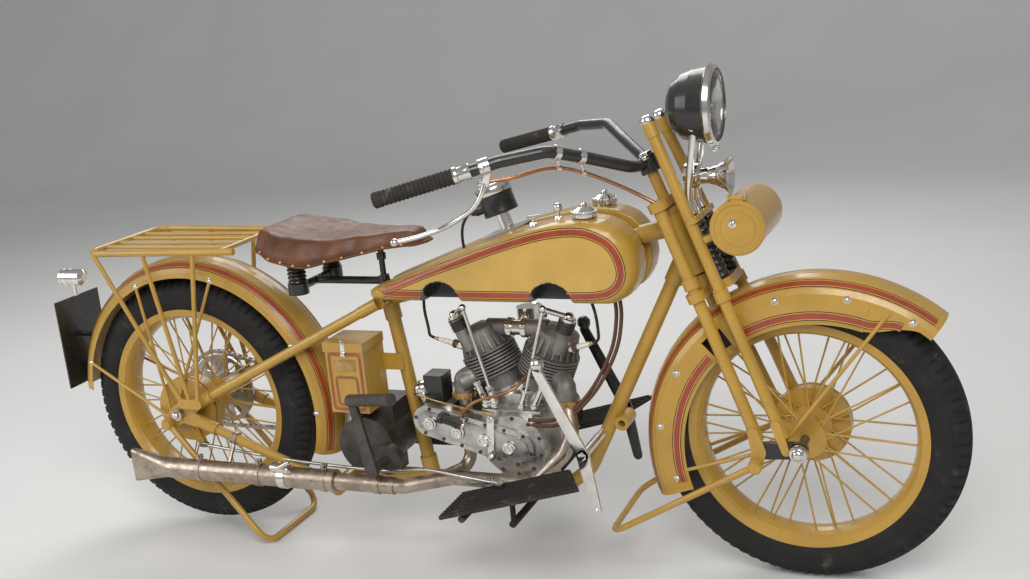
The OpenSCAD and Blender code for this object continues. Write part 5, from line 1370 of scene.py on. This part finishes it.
class MOTO_OT_box_trim(Operator):
    """Model the battery box's stripes, plate and clasp, and the toolbox lid's beads and lock"""

    bl_idname = "moto.box_trim"
    bl_label = "Box trim"

    def frame_line(self, x, z, half_x, half_z, width, face):
        """Striped rectangle with round corners, on the box's right side."""
        r = 7
        rows = []
        for sx, sz, start in ((1, 1, 0), (-1, 1, 90), (-1, -1, 180), (1, -1, 270)):
            for k in range(7):
                t = math.radians(start + 15 * k)
                rows.append((x + sx * (half_x - r) + r * math.cos(t),
                             z + sz * (half_z - r) + r * math.sin(t)))
        line = even_points(rows, 120)

        def shape(u, v):
            k = round(u * 120)
            way = (line[(k + 1) % 120] - line[(k - 1) % 120]).normalized()
            place = line[k % 120] + Vector((way.y, -way.x)) * (v - 0.5) * width
            return Vector((place.x, face, place.y))

        return closed_patch(120, 5, shape)

    def execute(self, context):
        skin = context.scene.moto_sizes.skin * TO_MM
        face = -118.3 - skin
        lines = joined([self.frame_line(-264, 426, 40, 66, 8, face),
                        self.frame_line(-264, 404, 27, 33, 7, face)])
        settle(lines, "box_stripe", "chassis", "stripe")
        badge = plate([(-291, 452), (-237, 452), (-237, 480), (-291, 480)], -118.2, -119.4, 0.4)
        pins = copies(screw(1.8, 1),
                      [facing((x, -119.4, z), RIGHT) for x in (-287, -241) for z in (456, 476)])
        settle(joined([badge, pins]), "box_plate", "chassis", "brass")
        clasp = [block((11, 3.5, 40), (-264, -120, 506), 1.2),
                 hexagon(6, 5, (-264, -120, 494), RIGHT)]
        settle(joined(clasp), "box_clasp", "chassis", "nickel")

        lid = (645.8, -95.6, 775)
        beads = ([(46, 0), (47, 1.8), (49.5, 2.6), (52, 1.8), (53, 0), (46, 0)],
                 [(33, 0), (34, 1.4), (36, 1.4), (37, 0), (33, 0)])
        rings = [turned(rows, 48, lid, RIGHT) for rows in beads]
        settle(joined(rings), "lid_beads", "toolbox_lid_body", "enamel")
        lock = [turned([(0, 3.4), (3, 3.4), (4, 2.4), (8, 2), (9.4, 0), (0, 0)], 28,
                       (636, -95.8, 784), RIGHT),
                block((3.4, 2, 12), (636, -98.6, 781), 0.8)]
        settle(joined(lock), "lid_lock", "toolbox_lid_body", "nickel")
        return {"FINISHED"}


# Exhaust, levers and rods

SILENCER = (-158, 195)    # (y, z) of its axis


class MOTO_OT_exhaust_trim(Operator):
    """Model the exhaust's straps, joint rings and cut-out pedal, and a black sheet of painted shade
    in the tail slot
    """

    bl_idname = "moto.exhaust_trim"
    bl_label = "Exhaust trim"

    def execute(self, context):
        bands = [ring(r - 0.6, r + 2.2, 16, (x, *SILENCER), (1, 0, 0), 36) for x,
                 r in ((-340, 25), (-520, 25), (-690, 25), (-318, 25), (-200, 20))]
        for x in (-340, -520, -690):
            bands.append(block((14, 7, 16), (x + 8, -158, 227), 1.6))
            bands.append(hexagon(6, 18, (x + 8, -149, 229), RIGHT))
        bands.append(ring(16.6, 19.6, 14, (172, -120, 209), (-1, 0, 0), 32))
        settle(joined(bands), "exhaust_straps", "chassis", "aged")
        pedal = [block((54, 26, 20), (-443, -172, 224), 7, (0.35, 0.12, 0)),
                 block((34, 12, 9), (-424, -186, 238), 3, (0.2, -0.45, 0.2)),
                 ring(24.4, 27.6, 20, (-453, *SILENCER), (1, 0, 0), 36)]
        settle(joined(pedal), "cutout_pedal", "chassis", "nickel")
        # Painted shade: a thin black sheet on the silencer's tail stands in for the dark inside of
        # the outlet slot
        slot = block((2, 10, 74), (-882.6, *SILENCER), 0.6)
        settle(slot, "tail_slot_shade", "chassis", "black")
        return {"FINISHED"}


class MOTO_OT_levers(Operator):
    """Model the hand levers, the brake rod and its return spring"""

    bl_idname = "moto.levers"
    bl_label = "Levers and rods"

    def lever(self, side):
        pivot, knob, low = (310, 299), (222, 483), (332, 175)
        y = -158 if side < 0 else 151
        parts = [plate(belt_line(pivot, 15, knob, 11, 56), y, y + 7, 1.6),
                 plate(belt_line(pivot, 15, low, 11, 56), y, y + 7, 1.6),
                 turned([(0, 16), (7, 14.6), (12.8, 9.6), (16, 0), (13.4, -8.8), (9, -13.4),
                         (7, -16), (0, -16)], 28, (knob[0], y + 3.5, 499), (-0.4, 0, 0.9))]
        outer = side * 158
        for x, z, r in ((pivot[0], pivot[1], 10), (low[0], low[1], 5)):
            parts.append(hexagon(r, 6, (x, outer - side * 1, z), (0, side, 0)))
        parts.append(tube([(pivot[0], side * 152, pivot[1]), (pivot[0], side * 16.5, pivot[1])],
                          9.9, 20, smooth=False))
        return joined(parts)

    def execute(self, context):
        right = settle(self.lever(-1), "lever_right", "chassis", "nickel")
        left = settle(self.lever(1), "lever_left", "chassis", "black")
        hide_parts("hand_levers")
        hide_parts("hand_levers")
        rod = tube(flowing([(-722, -90, 232), (-560, -102, 222), (-400, -113, 215),
                            (-190, -127, 216), (-78, -140, 232), (19, -162, 234),
                            (118, -188, 236)]), 4, 10, smooth=False)
        clevis = [block((26, 14, 12), (124, -189, 236), 2.4, (0, 0.1, -0.25)),
                  hexagon(6, 20, (128, -180, 237), RIGHT),
                  block((24, 12, 12), (-716, -90, 232), 2.4)]
        settle(joined([rod] + clevis), "brake_rod", "chassis", "steel")
        turns = [(38 + k * 0.62, -147 + 7 * math.cos(k * 0.6),
                  213 + k * 0.1 + 7 * math.sin(k * 0.6)) for k in range(112)]
        settle(tube(turns, 1.5, 6, smooth=False), "return_spring", "chassis", "steel", angle=60)
        return {"FINISHED"}


# Fork trim


class MOTO_OT_fork_trim(Operator):
    """Model the caps of the fork legs and of the wheels' axles"""

    bl_idname = "moto.fork_trim"
    bl_label = "Fork and axle trim"

    def execute(self, context):
        caps = []
        for side in SIDES:
            top = on_fork(50, side * 46, 730)
            way = (top - on_fork(50, side * 105, 60)).normalized()
            caps.append(turned([(0, 7), (6, 6.4), (11, 4), (14.6, 0), (15, -8), (14.2, -10),
                                (0, -10)], 28, top, way))
        settle(joined(caps), "leg_caps", "fork_body", "nickel")
        cap = turned([(0, 14), (6, 13.4), (10, 11), (11.6, 7), (13, 6), (17, 5), (19, 1), (19, -3),
                      (0, -3)], 32)
        places = [facing((HALF_BASE, side * 126, AXLE_Z), (0, side, 0)) for side in SIDES]
        settle(copies(cap, places), "front_axle_caps", "fork_body", "nickel")
        cap = turned([(0, 12), (6, 11), (9, 8), (10, 3), (14, 2), (14, -3), (0, -3)], 28)
        places = [facing((-HALF_BASE, side * 127, AXLE_Z), (0, side, 0)) for side in SIDES]
        settle(copies(cap, places), "rear_axle_caps", "chassis", "nickel")
        return {"FINISHED"}


# Left side

LEFT = (0, 1, 0)
CLUTCH = (-216, 261)
CHAIN_LINKS = 92
CHAIN_Y = 73


class MOTO_OT_left_trim(Operator):
    """Model the primary cover's caps and screws, and the links of the drive chain"""

    bl_idname = "moto.left_trim"
    bl_label = "Left side trim"

    def links(self, length, out, places):
        return copies(joined([block((length, 1.4, 8.4), (0, side * out, 0), 0.5)
                              for side in SIDES]), places)

    def chain(self):
        line = belt_line((-250, 261), 42, (-HALF_BASE, AXLE_Z), 101.3, CHAIN_LINKS)
        length = (line[1] - line[0]).length + 7
        places = []
        for k, here in enumerate(line):
            after = line[(k + 1) % CHAIN_LINKS]
            middle, way = (here + after) / 2, after - here
            turn = Matrix.Rotation(-math.atan2(way.y, way.x), 4, "Y")
            places.append(Matrix.Translation((middle.x, CHAIN_Y, middle.y)) @ turn)
        roller = turned([(0, 6.4), (2.6, 6.4), (2.6, 2.8), (4, 2.8), (4, -2.8), (2.6, -2.8),
                         (2.6, -6.4), (0, -6.4)], 12)
        rollers = copies(roller, [facing((p.x, CHAIN_Y, p.y), LEFT) for p in line])
        return joined([rollers, self.links(length, 5.4, places[0::2]),
                       self.links(length, 3.8, places[1::2])])

    def execute(self, context):
        chain = self.chain()
        settle(chain, "chain_links", "chassis", "steel")
        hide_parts("drive_chain")
        screws = copies(screw(4.6, 3.2),
                        [facing((p.x, 132, p.y), LEFT)
                         for p in belt_line(CRANK, 85, CLUTCH, 65, 18)])
        caps = [turned([(0, 6), (20, 6), (24, 4), (32, 3.4), (34, 1), (34, -1), (0, -1)], 40,
                       (CLUTCH[0], 137, CLUTCH[1]), LEFT),
                turned([(0, 5), (14, 5), (17, 3), (24, 2.4), (26, 1), (26, -1), (0, -1)], 40,
                       (CRANK[0], 137, CRANK[1]), LEFT), hexagon(9, 6, (-50, 137, 328), LEFT)]
        settle(joined([screws] + caps), "primary_caps", "chassis", "nickel")
        return {"FINISHED"}


# Studio


class MOTO_OT_studio(Operator):
    """Set up the camera, the floor and the soft studio light"""

    bl_idname = "moto.studio"
    bl_label = "Studio"

    eye = (1160, -2414.4, 1291.4)                # level place of the lens
    yaw, pitch, roll = 0.4073, -0.2680, -0.0926    # radians
    frame_width, focal, drop = 1030, 1224.7, 21.42    # pixels

    def camera(self, context):
        yaw, pitch, roll = self.yaw, self.pitch, self.roll
        ahead = Vector((-math.sin(yaw) * math.cos(pitch), math.cos(yaw) * math.cos(pitch),
                        math.sin(pitch)))
        across = Vector((math.cos(yaw), math.sin(yaw), 0))
        up = across.cross(ahead)
        right = across * math.cos(roll) + up * math.sin(roll)
        up = up * math.cos(roll) - across * math.sin(roll)
        deselect()
        bpy.ops.object.camera_add()
        camera = context.object
        camera.name = "photo_camera"
        turn = Matrix((right, up, -ahead)).transposed().to_4x4()
        camera.matrix_world = (Matrix.Translation(PARKED @ Vector(self.eye))
                               @ (PARKED.to_3x3() * TO_MM).to_4x4() @ turn)
        camera.data.sensor_width = 36
        camera.data.lens = camera.data.sensor_width * self.focal / self.frame_width
        camera.data.shift_y = self.drop / self.frame_width
        context.scene.camera = camera

    def floor(self, context):
        bpy.ops.mesh.primitive_plane_add(size=36, location=(0, -10, -0.001))
        floor = context.object
        floor.name = "studio_floor"
        bpy.ops.object.mode_set(mode="EDIT")
        bpy.ops.mesh.select_mode(type="EDGE")
        bpy.ops.mesh.select_all(action="DESELECT")
        bpy.ops.object.mode_set(mode="OBJECT")
        for edge in floor.data.edges:
            edge.select = all(floor.data.vertices[i].co.y > 0 for i in edge.vertices)
        bpy.ops.object.mode_set(mode="EDIT")
        bpy.ops.mesh.extrude_region_move(TRANSFORM_OT_translate={"value": (0, 0, 12)})
        bpy.ops.mesh.select_mode(type="VERT")
        bpy.ops.object.mode_set(mode="OBJECT")
        modifier(floor, "BEVEL", width=3, segments=20)
        bpy.ops.object.shade_smooth()
        f = Finish("studio_floor")
        tone = tuple(context.scene.moto_paint.floor)
        floor.data.materials.append(f.set(
            base_color=f.ramp(f.noise(1.2, 3), (0.3, shade(tone, 0.97)), (0.7, shade(tone, 1.02))),
            roughness=0.75))

    def lights(self, context):
        world = bpy.data.worlds.new("studio_sky")
        context.scene.world = world
        world.use_nodes = True
        world.node_tree.nodes["Background"].inputs["Color"].default_value = (0.80, 0.82, 0.85, 1)
        world.node_tree.nodes["Background"].inputs["Strength"].default_value = 0.42
        for name, place, size, watts in (
            ("key_light", (1.6, -3.4, 3.6), 2.6, 150),
            ("fill_light", (-3.2, -2.4, 2.2), 2.4, 55),
            ("rim_light", (-1, 2.6, 3.2), 2.4, 70),
        ):
            bpy.ops.object.light_add(type="AREA", location=place)
            lamp = context.object
            lamp.name = name
            lamp.data.energy = watts
            lamp.data.size = size
            aim = Vector((0, 0, 0.45)) - Vector(place)
            lamp.rotation_euler = aim.to_track_quat("-Z", "Y").to_euler()

    def execute(self, context):
        self.camera(context)
        self.floor(context)
        self.lights(context)
        context.scene.view_settings.view_transform = "Standard"
        return {"FINISHED"}


class MOTO_PT_panel(Panel):
    """Panel that lists the steps"""

    bl_label = "Motorcycle looks"
    bl_idname = "MOTO_PT_panel"
    bl_space_type = "VIEW_3D"
    bl_region_type = "UI"
    bl_category = "Motorcycle"

    def draw(self, context):
        for group in (context.scene.moto_paint, context.scene.moto_sizes):
            for key in group.bl_rna.properties.keys():
                if key not in ("rna_type", "name"):
                    self.layout.prop(group, key)
        for step in STEPS:
            self.layout.operator(step.bl_idname)


STEPS = (
    MOTO_OT_studio, MOTO_OT_finishes, MOTO_OT_tank, MOTO_OT_saddle, MOTO_OT_tyres,
    MOTO_OT_fender_trim,
    MOTO_OT_timing_trim, MOTO_OT_cylinder_trim, MOTO_OT_controls, MOTO_OT_gauge, MOTO_OT_lamp_trim,
    MOTO_OT_box_trim,
    MOTO_OT_exhaust_trim, MOTO_OT_levers, MOTO_OT_fork_trim, MOTO_OT_left_trim,
)
CLASSES = (MotorcyclePaint, MotorcycleSizes, *STEPS, MOTO_PT_panel)


def register():
    for made in CLASSES:
        bpy.utils.register_class(made)
    bpy.types.Scene.moto_paint = PointerProperty(type=MotorcyclePaint)
    bpy.types.Scene.moto_sizes = PointerProperty(type=MotorcycleSizes)


def unregister():
    del bpy.types.Scene.moto_sizes
    del bpy.types.Scene.moto_paint
    for made in reversed(CLASSES):
        bpy.utils.unregister_class(made)


def main():
    register()
    for step in STEPS:
        group, name = step.bl_idname.split(".")
        getattr(getattr(bpy.ops, group), name)()
    deselect()


if __name__ == "__main__":
    main()
